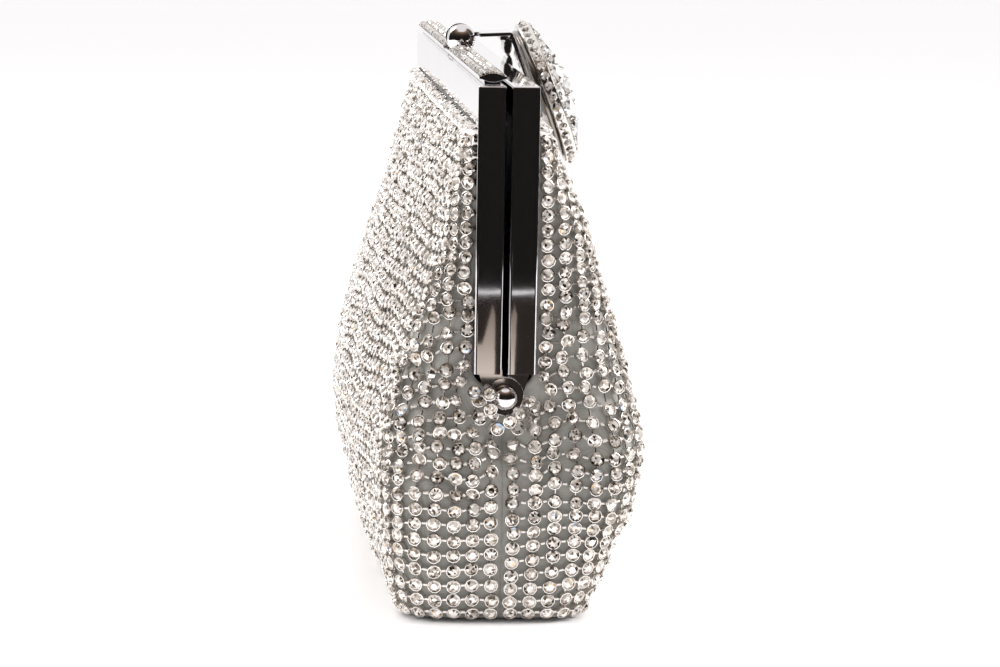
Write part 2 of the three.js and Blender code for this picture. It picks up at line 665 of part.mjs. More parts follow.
const pouch = new THREE.Group();
addLowerPouch(pouch);
addHingeEnds(pouch);
add(pouch, 'back_flex_band', flexBand(), CRYSTAL_MESH);
add(pouch, 'front_flex_band', flexBand(), CRYSTAL_MESH).rotation.z = Math.PI;
bag.add(pouch);

const backHalf = new THREE.Group();
addHalf(backHalf, 'back', BACK_LUG_X);
addBackBarFittings(backHalf);
bag.add(backHalf);

const frontHalf = new THREE.Group();
addHalf(frontHalf, 'front', FRONT_LUG_X);
frontHalf.rotation.z = Math.PI;
bag.add(frontHalf);

const clasp = new THREE.Group();
addClasp(clasp);
bag.add(clasp);

export default bag;
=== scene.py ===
# %% [markdown]
# # An evening bag of crystal mesh
#
# This bag is a soft pouch covered with small clear stones. Each stone sits in its own silver cup,
# and short silver links join the cups into a net over grey cloth. Two polished half frames, each an
# upside-down U, carry the pouch and open like a book. A flap with a flower brooch closes them.
#
# Everything is in metres. X runs along the bag, +Y is its back, and +Z is up. The brooch is at -Y.
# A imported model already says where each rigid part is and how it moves. It is loaded first, and
# the new pieces are built around it.

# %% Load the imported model
import json
import math
import random
from bisect import bisect_right

import bmesh
import bpy
from mathutils import Matrix, Vector, noise


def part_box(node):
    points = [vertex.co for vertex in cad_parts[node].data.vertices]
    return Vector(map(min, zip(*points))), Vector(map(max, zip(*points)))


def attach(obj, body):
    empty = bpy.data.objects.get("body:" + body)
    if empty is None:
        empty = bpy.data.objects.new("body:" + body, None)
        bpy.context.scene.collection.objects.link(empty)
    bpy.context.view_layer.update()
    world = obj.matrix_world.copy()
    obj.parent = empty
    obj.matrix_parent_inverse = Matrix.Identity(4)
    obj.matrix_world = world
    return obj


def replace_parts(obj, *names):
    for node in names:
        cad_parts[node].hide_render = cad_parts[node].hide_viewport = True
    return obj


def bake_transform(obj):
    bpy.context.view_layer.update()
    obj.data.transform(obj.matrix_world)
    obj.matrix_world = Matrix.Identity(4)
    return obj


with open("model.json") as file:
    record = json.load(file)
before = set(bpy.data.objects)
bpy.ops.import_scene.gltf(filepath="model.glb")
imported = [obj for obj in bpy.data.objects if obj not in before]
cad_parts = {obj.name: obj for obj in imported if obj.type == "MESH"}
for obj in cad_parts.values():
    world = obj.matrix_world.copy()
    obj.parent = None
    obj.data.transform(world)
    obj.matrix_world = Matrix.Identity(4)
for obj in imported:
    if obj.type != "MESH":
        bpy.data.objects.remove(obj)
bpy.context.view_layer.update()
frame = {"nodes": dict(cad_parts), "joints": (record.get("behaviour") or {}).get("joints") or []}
MM = 0.001
chance = random.Random(11)
joints = {joint["name"]: joint for joint in frame["joints"]}
hinge = Vector(joints["front_open"]["pos_m"])
clasp_axis = Vector(joints["clasp_lift"]["pos_m"])

# %% [markdown]
# ## Camera
#
# The bag is seen along its length from a little above, so a long lens keeps the near and the far
# end close to one size. The camera is aimed by a point on the bag and rolled by a fraction of a
# degree. Doing this first lets every later piece be judged in the picture.

# %% Camera
camera_data = bpy.data.cameras.new("camera")
camera_data.lens = 151.3
camera_data.sensor_width = 36
camera_data.clip_end = 20
camera = bpy.data.objects.new("camera", camera_data)
bpy.context.scene.collection.objects.link(camera)
camera.location = (-0.9345, 0.0738, 0.1669)
view_direction = Vector((0.988, -0.0855, -0.1265))
camera_roll = math.radians(1.0)
look = view_direction.to_track_quat("-Z", "Y").to_matrix().to_4x4()
camera.matrix_world = (
    Matrix.Translation(camera.location) @ look @ Matrix.Rotation(camera_roll, 4, "Z")
)
bpy.context.scene.camera = camera
print("camera is", round(camera.location.length, 3), "m from the base's middle")

# %% [markdown]
# ## Floor, light and the dark room
#
# Polished metal shows only what is around it. The bag stands on a white table in white light, and
# the room behind the camera is dark. Large white light comes from the world, a soft box adds the
# highlights, and dark cards, which only reflections can see, stand in for the room.

# %% Stage helpers
def shader_material(name, color, roughness, metallic=0.0):
    """A Principled material with its plain values set; returns it with its nodes and shader."""
    material = bpy.data.materials.new(name)
    material.use_nodes = True
    nodes = material.node_tree.nodes
    shader = nodes["Principled BSDF"]
    shader.inputs["Base Color"].default_value = (*color, 1)
    shader.inputs["Roughness"].default_value = roughness
    shader.inputs["Metallic"].default_value = metallic
    return material, nodes, shader


def add_node(nodes, kind, **values):
    node = nodes.new(kind)
    for name, value in values.items():
        setattr(node, name, value)
    return node


def object_noise(nodes, links, scale, detail=2.0):
    """A noise texture that stays fixed to the piece."""
    place = add_node(nodes, "ShaderNodeTexCoord")
    texture = add_node(nodes, "ShaderNodeTexNoise")
    texture.inputs["Scale"].default_value = scale
    texture.inputs["Detail"].default_value = detail
    links.new(place.outputs["Object"], texture.inputs["Vector"])
    return texture


def ramp_between(nodes, links, source, stops):
    """A colour ramp with (position, colour) stops, fed by a value."""
    ramp = add_node(nodes, "ShaderNodeValToRGB")
    elements = ramp.color_ramp.elements
    while len(elements) < len(stops):
        elements.new(0.5)
    for element, (position, color) in zip(elements, stops):
        element.position = position
        element.color = (*color, 1)
    links.new(source, ramp.inputs["Fac"])
    return ramp


def link_object(name, mesh):
    piece = bpy.data.objects.new(name, mesh)
    bpy.context.scene.collection.objects.link(piece)
    return piece


def stage_plane(name, size, matrix, material):
    bm = bmesh.new()
    bmesh.ops.create_grid(bm, x_segments=1, y_segments=1, size=1)
    bmesh.ops.scale(bm, vec=(size[0] / 2, size[1] / 2, 1), verts=bm.verts)
    bmesh.ops.transform(bm, matrix=matrix, verts=bm.verts)
    mesh = bpy.data.meshes.new(name)
    bm.to_mesh(mesh)
    bm.free()
    mesh.materials.append(material)
    plane = link_object(name, mesh)
    return plane


# %% Floor, world and lights
table_white, _, table_shader = shader_material("table_white", (0.95, 0.945, 0.95), 0.3)
table_shader.inputs["Specular IOR Level"].default_value = 0.22
floor = stage_plane("floor", (8, 8), Matrix.Translation((0, 0, -0.0004)), table_white)

world = bpy.data.worlds.new("white_room")
world.use_nodes = True
world.node_tree.nodes["Background"].inputs["Color"].default_value = (1.0, 0.985, 0.985, 1)
world.node_tree.nodes["Background"].inputs["Strength"].default_value = 1.0
bpy.context.scene.world = world
bpy.context.scene.view_settings.view_transform = "Standard"


def area_light(name, location, target, size, power):
    data = bpy.data.lights.new(name, "AREA")
    data.shape = "RECTANGLE"
    data.size, data.size_y = size
    data.energy = power
    light = bpy.data.objects.new(name, data)
    bpy.context.scene.collection.objects.link(light)
    light.location = location
    direction = Vector(target) - Vector(location)
    light.rotation_euler = direction.to_track_quat("-Z", "Y").to_euler()
    return light


area_light("key_behind_left", (0.55, 0.6, 0.75), (0, 0, 0.05), (0.45, 0.45), 4.5)
area_light("fill_right", (-0.1, -0.95, 0.6), (0, 0, 0.05), (0.3, 0.5), 11)
area_light("fill_left", (-0.15, 0.95, 0.55), (0, 0, 0.05), (0.3, 0.4), 5)

# %% [markdown]
# ### The dark room
#
# The room is a tall curved card round the camera's side, black near the floor and brown towards
# its top, with a dark table top in front of it and one pale mat. Only reflections see it: the
# camera, the soft light and the shadows pass through.

# %% Room cards
def room_material(name, axis, stops, reach):
    """A matt card whose colour changes along one axis, by the distance from the middle."""
    material, nodes, shader = shader_material(name, stops[0][1], 1.0)
    links = material.node_tree.links
    place = add_node(nodes, "ShaderNodeTexCoord")
    split = add_node(nodes, "ShaderNodeSeparateXYZ")
    links.new(place.outputs["Object"], split.inputs["Vector"])
    size = add_node(nodes, "ShaderNodeMath", operation="ABSOLUTE")
    links.new(split.outputs[axis], size.inputs[0])
    share = add_node(nodes, "ShaderNodeMapRange")
    share.inputs["From Max"].default_value = reach
    links.new(size.outputs["Value"], share.inputs["Value"])
    ramp = ramp_between(nodes, links, share.outputs["Result"], stops)
    links.new(ramp.outputs["Color"], shader.inputs["Base Color"])
    shader.inputs["Specular IOR Level"].default_value = 0
    return material


def only_reflected(card):
    for seen_by in ("camera", "diffuse", "shadow", "transmission"):
        setattr(card, f"visible_{seen_by}", False)
    return card


def curved_wall(name, radius, height, half_sweep, material):
    """Part of an upright cylinder centred on the -X direction."""
    bm = bmesh.new()
    first = bm.verts.new((-radius, 0, 0.002))
    second = bm.verts.new((-radius, 0, height))
    edge = bm.edges.new((first, second))
    bmesh.ops.rotate(bm, matrix=Matrix.Rotation(-half_sweep, 3, "Z"), verts=bm.verts)
    bmesh.ops.spin(
        bm, geom=[first, second, edge], cent=(0, 0, 0), axis=(0, 0, 1), angle=2 * half_sweep,
        steps=40,
    )
    mesh = bpy.data.meshes.new(name)
    bm.to_mesh(mesh)
    bm.free()
    mesh.materials.append(material)
    return only_reflected(link_object(name, mesh))


WALL_RADIUS = 0.66
WALL_HEIGHT = 1.25
wall_brown = room_material("wall_brown", "Z", [
    (0.0, (0.008, 0.007, 0.007)), (0.30, (0.012, 0.010, 0.009)), (0.50, (0.055, 0.038, 0.026)),
    (0.75, (0.17, 0.12, 0.085)), (1.0, (0.42, 0.34, 0.28)),
], WALL_HEIGHT)
curved_wall("room_wall", WALL_RADIUS, WALL_HEIGHT, math.radians(122), wall_brown)
dark_table, _, dark_shader = shader_material("dark_table", (0.02, 0.016, 0.014), 1.0)
dark_shader.inputs["Specular IOR Level"].default_value = 0
only_reflected(stage_plane(
    "room_table", (0.32, 1.3), Matrix.Translation((-0.50, 0, 0.0006)), dark_table,
))
mat_beige = room_material("mat_beige", "X", [
    (0.0, (0.66, 0.60, 0.54)), (0.66, (0.55, 0.49, 0.43)), (0.8, (0.32, 0.27, 0.23)),
    (1.0, (0.1, 0.08, 0.07)),
], 0.66)


def corner_mat(name, corners, height, material):
    bm = bmesh.new()
    bm.faces.new([bm.verts.new((x, y, height)) for x, y in corners])
    mesh = bpy.data.meshes.new(name)
    bm.to_mesh(mesh)
    bm.free()
    mesh.materials.append(material)
    return only_reflected(link_object(name, mesh))


corner_mat("room_mat", [
    (-0.452, 0.16), (-0.452, -0.031), (-0.60, -0.0444), (-0.625, -0.0445), (-0.525, -0.0275),
    (-0.50, 0.16),
], 0.001, mat_beige)

# %% [markdown]
# ## Finishes
#
# Three finishes make the bag: mirror-polished nickel, the bright silver of the cups, and foiled
# crystal. Crystal could be real glass with refraction, but thousands of tiny glass stones render
# slowly and go grey. So each facet gets a painted reflection instead: a random shade from near
# black to white, with a few warm and blue flashes, kept in a face attribute. A clear coat gives a real
# hard gloss.

# %% Metal finishes
def polished_metal(name, color, roughness, smear):
    """Mirror metal whose gloss is broken a little by faint rubbing marks."""
    material, nodes, shader = shader_material(name, color, roughness, 1.0)
    links = material.node_tree.links
    marks = object_noise(nodes, links, 90, 4)
    spread = add_node(nodes, "ShaderNodeMapRange")
    spread.inputs["To Min"].default_value = roughness
    spread.inputs["To Max"].default_value = roughness + smear
    links.new(marks.outputs["Fac"], spread.inputs["Value"])
    links.new(spread.outputs["Result"], shader.inputs["Roughness"])
    tint = ramp_between(nodes, links, marks.outputs["Fac"], [
        (0.3, tuple(0.95 * c for c in color)),
        (0.7, color),
    ])
    links.new(tint.outputs["Color"], shader.inputs["Base Color"])
    bump = add_node(nodes, "ShaderNodeBump")
    bump.inputs["Strength"].default_value = 0.06
    bump.inputs["Distance"].default_value = 0.05 * MM
    links.new(marks.outputs["Fac"], bump.inputs["Height"])
    links.new(bump.outputs["Normal"], shader.inputs["Normal"])
    return material


nickel = polished_metal("polished_nickel", (0.775, 0.755, 0.765), 0.015, 0.03)
cup_silver = polished_metal("cup_silver", (0.885, 0.845, 0.805), 0.17, 0.12)
setting_silver = polished_metal("setting_silver", (0.84, 0.81, 0.785), 0.1, 0.1)
plate_dark = polished_metal("plate_dark", (0.30, 0.27, 0.245), 0.12, 0.1)

# %% Crystal
def crystal(name, stops, roughness=0.07):
    """Crystal with painted reflections: a face attribute picks each facet's painted shade."""
    material, nodes, shader = shader_material(name, (0.9, 0.9, 0.9), roughness, 0.5)
    links = material.node_tree.links
    facet = add_node(nodes, "ShaderNodeAttribute", attribute_name="facet")
    shade = ramp_between(nodes, links, facet.outputs["Fac"], stops)
    shade.color_ramp.interpolation = "CONSTANT"
    links.new(shade.outputs["Color"], shader.inputs["Base Color"])
    shader.inputs["Coat Weight"].default_value = 0.8
    shader.inputs["Coat Roughness"].default_value = 0.03
    shader.inputs["IOR"].default_value = 1.6
    return material


# Painted facet reflections: dark, grey and white shades, with rare warm and blue flashes, stand in for
# the light a clear stone reflects and splits.
PAINTED_FACET_REFLECTIONS = [
    (0.00, (0.035, 0.026, 0.019)),
    (0.08, (0.22, 0.18, 0.14)),
    (0.20, (0.48, 0.42, 0.36)),
    (0.36, (0.74, 0.68, 0.62)),
    (0.56, (0.96, 0.91, 0.865)),
    (0.982, (0.95, 0.64, 0.36)),
    (0.990, (0.52, 0.70, 0.96)),
    (0.995, (0.99, 0.96, 0.90)),
]
mesh_crystal = crystal("mesh_crystal", PAINTED_FACET_REFLECTIONS)
print("finishes:", [m.name for m in bpy.data.materials])

# %% Cloth finishes
def woven_cloth(name, dark, light, thread, roughness, sheen):
    """Plain weave from two crossed waves, with slow changes of shade."""
    material, nodes, shader = shader_material(name, light, roughness)
    links = material.node_tree.links
    place = add_node(nodes, "ShaderNodeTexCoord")
    height = None
    for direction in ("X", "Z"):
        wave = add_node(nodes, "ShaderNodeTexWave", bands_direction=direction)
        wave.inputs["Scale"].default_value = 0.31 / thread
        wave.inputs["Distortion"].default_value = 0.6
        links.new(place.outputs["Object"], wave.inputs["Vector"])
        if height is None:
            height = wave.outputs["Fac"]
        else:
            both = add_node(nodes, "ShaderNodeMath", operation="MULTIPLY")
            links.new(height, both.inputs[0])
            links.new(wave.outputs["Fac"], both.inputs[1])
            height = both.outputs["Value"]
    clouds = object_noise(nodes, links, 55, 3)
    mixed = add_node(nodes, "ShaderNodeMath", operation="ADD")
    links.new(height, mixed.inputs[0])
    links.new(clouds.outputs["Fac"], mixed.inputs[1])
    shade = ramp_between(nodes, links, mixed.outputs["Value"], [(0.35, dark), (1.1, light)])
    links.new(shade.outputs["Color"], shader.inputs["Base Color"])
    bump = add_node(nodes, "ShaderNodeBump")
    bump.inputs["Strength"].default_value = 0.12
    bump.inputs["Distance"].default_value = 0.1 * MM
    links.new(height, bump.inputs["Height"])
    links.new(bump.outputs["Normal"], shader.inputs["Normal"])
    shader.inputs["Sheen Weight"].default_value = sheen
    return material


backing = woven_cloth("backing_cloth", (0.29, 0.28, 0.255), (0.36, 0.35, 0.325), 0.32 * MM, 0.8, 0.3)
satin = woven_cloth("lining_satin", (0.42, 0.42, 0.44), (0.62, 0.62, 0.64), 0.3 * MM, 0.42, 0.5)

# %% [markdown]
# ## The pouch as a surface
#
# Before anything is modelled, the pouch is described by a function: given how far round it a point
# is and how high, it returns the place and the outward direction. The cloth, the cups, the links
# and the lining all ask that one function, so they can't drift apart. A drawn outline gives the
# half depth and the half length at each height, and a rounded corner joins the two.

# %% Outlines of the pouch
# (height, half depth) at the middle of the bag and at its ends. The front is a little fuller.
MIDDLE = {
    1: [
        (-3, 14), (0, 20), (3, 22), (10, 24.3), (21, 27.4), (28, 28.6), (36, 29.0), (43, 28.2),
        (51, 26.6), (60, 24.2), (69, 21.2), (82, 16.4), (93, 12.4), (99, 9.0), (101.6, 7.4),
    ],
    -1: [
        (-3, 14), (0, 19.6), (2.5, 21.6), (9.6, 24.8), (17.5, 28.0), (23, 29.8), (28, 30.8),
        (34, 31.0), (40, 30.5), (47, 29.3), (53, 28.1), (61, 26.3), (68, 24.3), (78, 20.6),
        (84, 18.0), (92, 13.8), (98, 10.3), (101.6, 8.3),
    ],
}
ENDS = {
    1: [
        (-3, 13), (0, 19.3), (3.7, 21.3), (10, 22.6), (16, 23.4), (28, 23.8), (35, 23.6),
        (40, 22.9), (49, 20.6), (58.6, 17.6), (68, 14.4), (76, 12.2), (86, 10.3), (93, 9.1),
        (101.6, 7.8),
    ],
    -1: [
        (-3, 12), (0, 17.2), (2.5, 18.6), (9.6, 22.0), (13, 23.2), (17.5, 24.8), (23, 27.0),
        (28, 28.0), (34, 28.4), (40, 27.6), (47, 26.1), (53, 24.4), (61, 22.2), (68, 20.2),
        (78, 17.0), (84, 14.9), (92, 11.3), (101.6, 7.9),
    ],
}
LENGTHS = [
    (-3, 88), (0, 92.6), (3, 94.6), (18, 96.3), (26, 96.8), (33, 96.5), (40, 95.2), (47, 93.5),
    (56, 92.9), (78, 92.6), (101.6, 92),
]
CORNERS = {
    1: [(-3, 8), (0, 9.5), (18, 11), (33, 11.5), (47, 11), (67, 10), (84, 8), (101.6, 5)],
    -1: [(-3, 7), (0, 9), (18, 11), (33, 12), (47, 12), (67, 11), (84, 8), (101.6, 4.5)],
}


def smooth_value(points, z):
    """Cubic curve through (height, value) points."""
    heights = [p[0] for p in points]
    i = min(max(bisect_right(heights, z) - 1, 0), len(points) - 2)
    (z0, v0), (z1, v1) = points[i], points[i + 1]
    before = points[max(i - 1, 0)]
    after = points[min(i + 2, len(points) - 1)]
    span = z1 - z0
    slope0 = (v1 - before[1]) / (z1 - before[0]) * span
    slope1 = (after[1] - v0) / (after[0] - z0) * span
    t = (z - z0) / span
    return (
        (2 * t**3 - 3 * t**2 + 1) * v0 + (t**3 - 2 * t**2 + t) * slope0
        + (3 * t**2 - 2 * t**3) * v1 + (t**3 - t**2) * slope1
    )


def half_depth(x, z, side):
    """Half depth at a place along the bag: the long faces bow out between the ends."""
    end = smooth_value(ENDS[side], z)
    bow = 1 - (x / smooth_value(LENGTHS, z)) ** 2
    return end + (smooth_value(MIDDLE[side], z) - end) * bow


def quarter_arc(z, side):
    """Length of cloth from the middle of a long face to the middle of an end, in mm."""
    corner = smooth_value(CORNERS[side], z)
    straight = smooth_value(LENGTHS, z) - corner
    return straight + corner * math.pi / 2 + half_depth(straight, z, side) - corner


print("a quarter of the way round at the base and the widest row:",
      round(quarter_arc(0, 1), 1), round(quarter_arc(33, 1), 1), "mm")

# %% [markdown]
# ### Folds
#
# The net hangs from the frame and is soft, so it is never a clean form. Slow waves run through it,
# gathers hang from the top bar, creases cross the ends, and under each hinge the cloth is pinched
# in behind the lugs. These are small moves along the outward direction, added up in one function.

# %% Fold functions
HINGE_Z = hinge.z / MM
LEG_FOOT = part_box("back_panel")[0].z / MM  # lowest point of the swinging panel
LEG_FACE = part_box("back_frame")[1].y / MM
LUG_CLEAR_X = 91.4  # the cloth passes behind the lugs here
CREASES = [
    # side, (y, z) start, (y, z) end, depth, width
    (1, (24, 37), (5, 25), 1.7, 1.9),
    (1, (21, 56), (9, 34), 1.1, 2.2),
    (1, (12, 62), (20, 44), 0.9, 1.8),
    (-1, (9, 42), (24, 47), 0.9, 1.9),
    (-1, (6, 34), (20, 36), 0.8, 1.8),
]


def smooth_step(low, high, value):
    t = min(max((value - low) / (high - low), 0), 1)
    return t * t * (3 - 2 * t)


def along_crease(y, z, start, end, width):
    """1 on the line from start to end, falling to 0 at its sides and past its ends."""
    run = Vector(end) - Vector(start)
    offset = Vector((y, z)) - Vector(start)
    t = offset.dot(run) / run.length_squared
    side = abs(offset.x * run.y - offset.y * run.x) / run.length
    return math.exp(-((side / width) ** 2)) * smooth_step(-0.15, 0.2, t) * smooth_step(1.15, 0.8, t)


def relief(x, y, z):
    """How far the cloth moves outward at a point of the plain form, in mm."""
    seed = Vector((x * 0.028, y * 0.05, z * 0.045))
    move = 0.9 * noise.noise(seed) + 0.45 * noise.noise(seed * 3.1 + Vector((7, 3, 1)))
    long_face = smooth_step(92, 80, abs(x))
    gather = math.sin(x * 2 * math.pi / 23 + 2.2 * noise.noise(Vector((x * 0.03, y, 4))))
    move += 0.55 * gather * long_face * smooth_step(55, 96, z)
    move += 0.4 * gather * long_face * smooth_step(26, 8, z)
    if abs(x) > 78:
        reach = smooth_step(78, 88, abs(x))
        for side, start, end, depth, width in CREASES:
            if side * y > 0:
                move -= reach * depth * along_crease(abs(y), z, start, end, width)
    return move * smooth_step(0, 5, z) * smooth_step(101.5, 97, z)


def pinch(y, z):
    """How far the end of the pouch is drawn in round the hinge, in mm."""
    from_axis = math.hypot(y, z - HINGE_Z)
    pocket = smooth_step(11.5, 5.2, from_axis)
    dimple = math.exp(-((y / 4.2) ** 2) - (((z - HINGE_Z + 9) / 4.5) ** 2))
    return pocket, dimple


# %% The surface function
BAR_UNDERSIDE = 101.6


def plain_point(arc, z, side, inset):
    """Place in the quarter x >= 0, y >= 0 and its outward direction in plan."""
    half_length = smooth_value(LENGTHS, z)
    corner = smooth_value(CORNERS[side], z)
    straight = half_length - corner
    bend = corner * math.pi / 2
    if arc < straight:
        return arc, half_depth(arc, z, side) - inset, 0.0, 1.0
    corner_depth = half_depth(straight, z, side) - corner
    if arc < straight + bend:
        turn = (arc - straight) / corner
        x_out, y_out = math.sin(turn), math.cos(turn)
        reach = corner - inset
        return straight + reach * x_out, corner_depth + reach * y_out, x_out, y_out
    return half_length - inset, corner_depth - (arc - straight - bend), 1.0, 0.0


def wall_point(arc, z, side, inset=0.0, folds=1.0):
    """Point of the pouch in mm. arc runs from the middle of a long face, + or - along X."""
    tuck = 2.8 * smooth_step(BAR_UNDERSIDE - 0.9, BAR_UNDERSIDE, z)
    x, y, x_out, y_out = plain_point(abs(arc), z, side, inset + tuck)
    end = math.copysign(1, arc)
    move = folds * relief(end * x, side * y, z)
    x += x_out * move
    y += y_out * move
    if x > 84 and z < 60:
        pocket, dimple = pinch(y, z)
        hidden_x = LUG_CLEAR_X - 0.2 * inset
        x -= pocket * max(x - hidden_x, 0)
        x = max(x - 3.2 * dimple, min(x, hidden_x))
    return Vector((end * x, side * y, z))


def wall_frame(arc, z, side):
    """Place and (along the row, up the wall, outward) directions there."""
    step = 0.5
    here = wall_point(arc, z, side)
    ahead = wall_point(arc + step, z, side) - wall_point(arc - step, z, side)
    above = wall_point(arc, z + step, side) - wall_point(arc, z - step, side)
    outward = ahead.cross(above).normalized() * -side
    along = (ahead - outward * ahead.dot(outward)).normalized()
    return here, along, outward.cross(along), outward


def edge_arc(z, side, gap):
    """Arc at which the cloth ends: the middle of the end, or the leg's outer face above it."""
    limit = (LEG_FACE + gap) * smooth_step(HINGE_Z - 1.5, LEG_FOOT + 0.8, z)
    return quarter_arc(z, side) - limit


test = wall_point(0, 33, 1)
print("middle of the back at its widest:", [round(v, 1) for v in test])

# %% [markdown]
# ## Cloth under the net
#
# The cloth is one sheet for the back half and one for the front half, sewn together down the
# middle of each end. A grid is the natural start: its columns are bent round the pouch and its
# rows are set at the heights, and Solidify then gives the sheet its thickness.

# %% Sheet builder
CLOTH_INSET = 1.5
COLUMNS, ROWS = 132, 62


def finish_piece(bm, name, materials, smooth=True):
    """Turns a bmesh into a linked object with its materials."""
    mesh = bpy.data.meshes.new(name)
    bm.to_mesh(mesh)
    bm.free()
    for material in materials:
        mesh.materials.append(material)
    mesh.polygons.foreach_set("use_smooth", [smooth] * len(mesh.polygons))
    return link_object(name, mesh)


def bent_sheet(name, side, low, high, inset, folds, gap, thickness, material):
    bm = bmesh.new()
    bmesh.ops.create_grid(bm, x_segments=COLUMNS, y_segments=ROWS, size=1)
    for vert in bm.verts:
        z = low + (high - low) * (vert.co.y + 1) / 2
        arc = vert.co.x * edge_arc(z, side, gap)
        vert.co = wall_point(arc, z, side, inset, folds) * MM
    if side > 0:
        bmesh.ops.reverse_faces(bm, faces=bm.faces)
    piece = finish_piece(bm, name, [material])
    solid = piece.modifiers.new("thickness", "SOLIDIFY")
    solid.thickness = thickness * MM
    solid.offset = -1
    return piece


def apply_modifiers(piece):
    """Bakes the modifiers into the mesh."""
    depsgraph = bpy.context.evaluated_depsgraph_get()
    baked = bpy.data.meshes.new_from_object(piece.evaluated_get(depsgraph))
    piece.modifiers.clear()
    piece.data = baked
    return piece


halves = {"back": 1, "front": -1}
for half, side in halves.items():
    cloth = bent_sheet(f"{half}_cloth", side, 0.4, 101.2, CLOTH_INSET, 1.0, 0.05, 0.45, backing)
    apply_modifiers(cloth)
    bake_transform(cloth)
    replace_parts(cloth, f"{half}_panel", f"{half}_flex_band")
    lining = bent_sheet(f"{half}_satin", side, 5.0, 101.0, 3.0, 0.5, 0.5, 0.4, satin)
    apply_modifiers(lining)
    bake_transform(lining)
    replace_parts(lining, f"{half}_lining")
    print(cloth.name, len(cloth.data.polygons), "faces;", lining.name, len(lining.data.polygons))

# %% [markdown]
# ## Base
#
# The bag stands on a flat base: the net's own cloth under a stiff board, with the lining's floor
# above it. A filled circle is the right start, because its rim can be laid along the pouch's
# outline, one vertex at a time, and then the face is given a thickness and soft edges.

# %% Base cloth and lining floor
def base_piece(name, z_low, z_high, inset, material):
    """A flat closed piece with the pouch's plan at its own height."""
    per_quarter = 26
    bm = bmesh.new()
    bmesh.ops.create_circle(bm, cap_ends=True, segments=4 * per_quarter, radius=1)
    for vert in bm.verts:
        turn = math.atan2(vert.co.y, vert.co.x)
        side = 1 if vert.co.y > 0 else -1
        share = 1 - min(abs(turn), math.pi - abs(turn)) / (math.pi / 2)
        arc = math.copysign(max(share * quarter_arc(z_low, side), 1e-6), vert.co.x)
        place = wall_point(arc, z_low, side, inset, 0)
        vert.co = (place.x * MM, place.y * MM, z_low * MM)
    raised = bmesh.ops.extrude_face_region(bm, geom=list(bm.faces))
    top = [v for v in raised["geom"] if isinstance(v, bmesh.types.BMVert)]
    bmesh.ops.translate(bm, vec=(0, 0, (z_high - z_low) * MM), verts=top)
    bmesh.ops.recalc_face_normals(bm, faces=bm.faces)
    rims = [e for e in bm.edges if abs(e.verts[0].co.z - e.verts[1].co.z) < 1e-9]
    bmesh.ops.bevel(
        bm, geom=rims, offset=0.2 * MM, segments=2, affect="EDGES", profile=0.5, material=-1,
    )
    return finish_piece(bm, name, [material])


base_cloth = base_piece("base_cloth", 0.05, 1.2, CLOTH_INSET + 0.7, backing)
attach(base_cloth, "bag_body")
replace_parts(base_cloth, "lower_pouch")
floor_satin = base_piece("floor_satin", 4.5, 5.1, 3.4, satin)
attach(floor_satin, "bag_body")
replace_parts(floor_satin, "lower_lining")
print("base is", [round(v / MM, 1) for v in base_cloth.dimensions], "mm")

# %% [markdown]
# ## One stone in its cup
#
# There are thousands of stones, so one stone is modelled with care and few faces, and copied. The
# cup is a short tapered bowl with a rounded lip: a circle grown upward ring by ring. The stone is
# a ring of eight points below and a smaller ring above, turned by half a step, so that the faces
# between them are the crossed triangles of a cut stone.

# %% Cup and stone
CUP_HEIGHT = 1.35
CUP_RINGS = [(1.25, 0.0), (1.52, 1.05), (1.48, 1.30), (1.32, CUP_HEIGHT), (1.24, 1.02)]


def grow_ring(bm, edges, radius, height, turn=0.0):
    """Extrudes a ring of edges and sets the new ring's radius and height, in mm."""
    grown = bmesh.ops.extrude_edge_only(bm, edges=edges)
    verts = [v for v in grown["geom"] if isinstance(v, bmesh.types.BMVert)]
    now = Vector((verts[0].co.x, verts[0].co.y)).length
    scale = radius * MM / now
    bmesh.ops.scale(bm, vec=(scale, scale, 1), verts=verts)
    bmesh.ops.translate(bm, vec=(0, 0, height * MM - verts[0].co.z), verts=verts)
    bmesh.ops.rotate(bm, matrix=Matrix.Rotation(turn, 3, "Z"), verts=verts)
    return [e for e in grown["geom"] if isinstance(e, bmesh.types.BMEdge)]


def to_mesh(bm, name):
    mesh = bpy.data.meshes.new(name)
    bmesh.ops.recalc_face_normals(bm, faces=bm.faces)
    bm.to_mesh(mesh)
    bm.free()
    return mesh


def cup_mesh(name, rings, segments):
    """A turned cup, closed below and at the bottom of its seat."""
    bm = bmesh.new()
    radius, height = rings[0]
    bmesh.ops.create_circle(bm, cap_ends=True, segments=segments, radius=radius * MM)
    bmesh.ops.translate(bm, vec=(0, 0, height * MM), verts=bm.verts)
    edges = list(bm.edges)
    for radius, height in rings[1:]:
        edges = grow_ring(bm, edges, radius, height)
    bmesh.ops.edgeloop_fill(bm, edges=edges)
    return to_mesh(bm, name)


def stone_mesh(name, girdle, table, low, high, points=8):
    """A cut stone: a girdle, crossed crown facets and a flat table."""
    bm = bmesh.new()
    bmesh.ops.create_circle(bm, cap_ends=True, segments=points, radius=girdle * MM)
    bmesh.ops.translate(bm, vec=(0, 0, low * MM), verts=bm.verts)
    edges = grow_ring(bm, list(bm.edges), table, high, turn=math.pi / points)
    bmesh.ops.edgeloop_fill(bm, edges=edges)
    crown = [f for f in bm.faces if len(f.verts) == 4]
    bmesh.ops.triangulate(bm, faces=crown, quad_method="SHORT_EDGE")
    bm.faces.ensure_lookup_table()
    table_face = max(bm.faces, key=lambda face: face.calc_center_median().z)
    bmesh.ops.poke(bm, faces=[table_face])
    return to_mesh(bm, name)


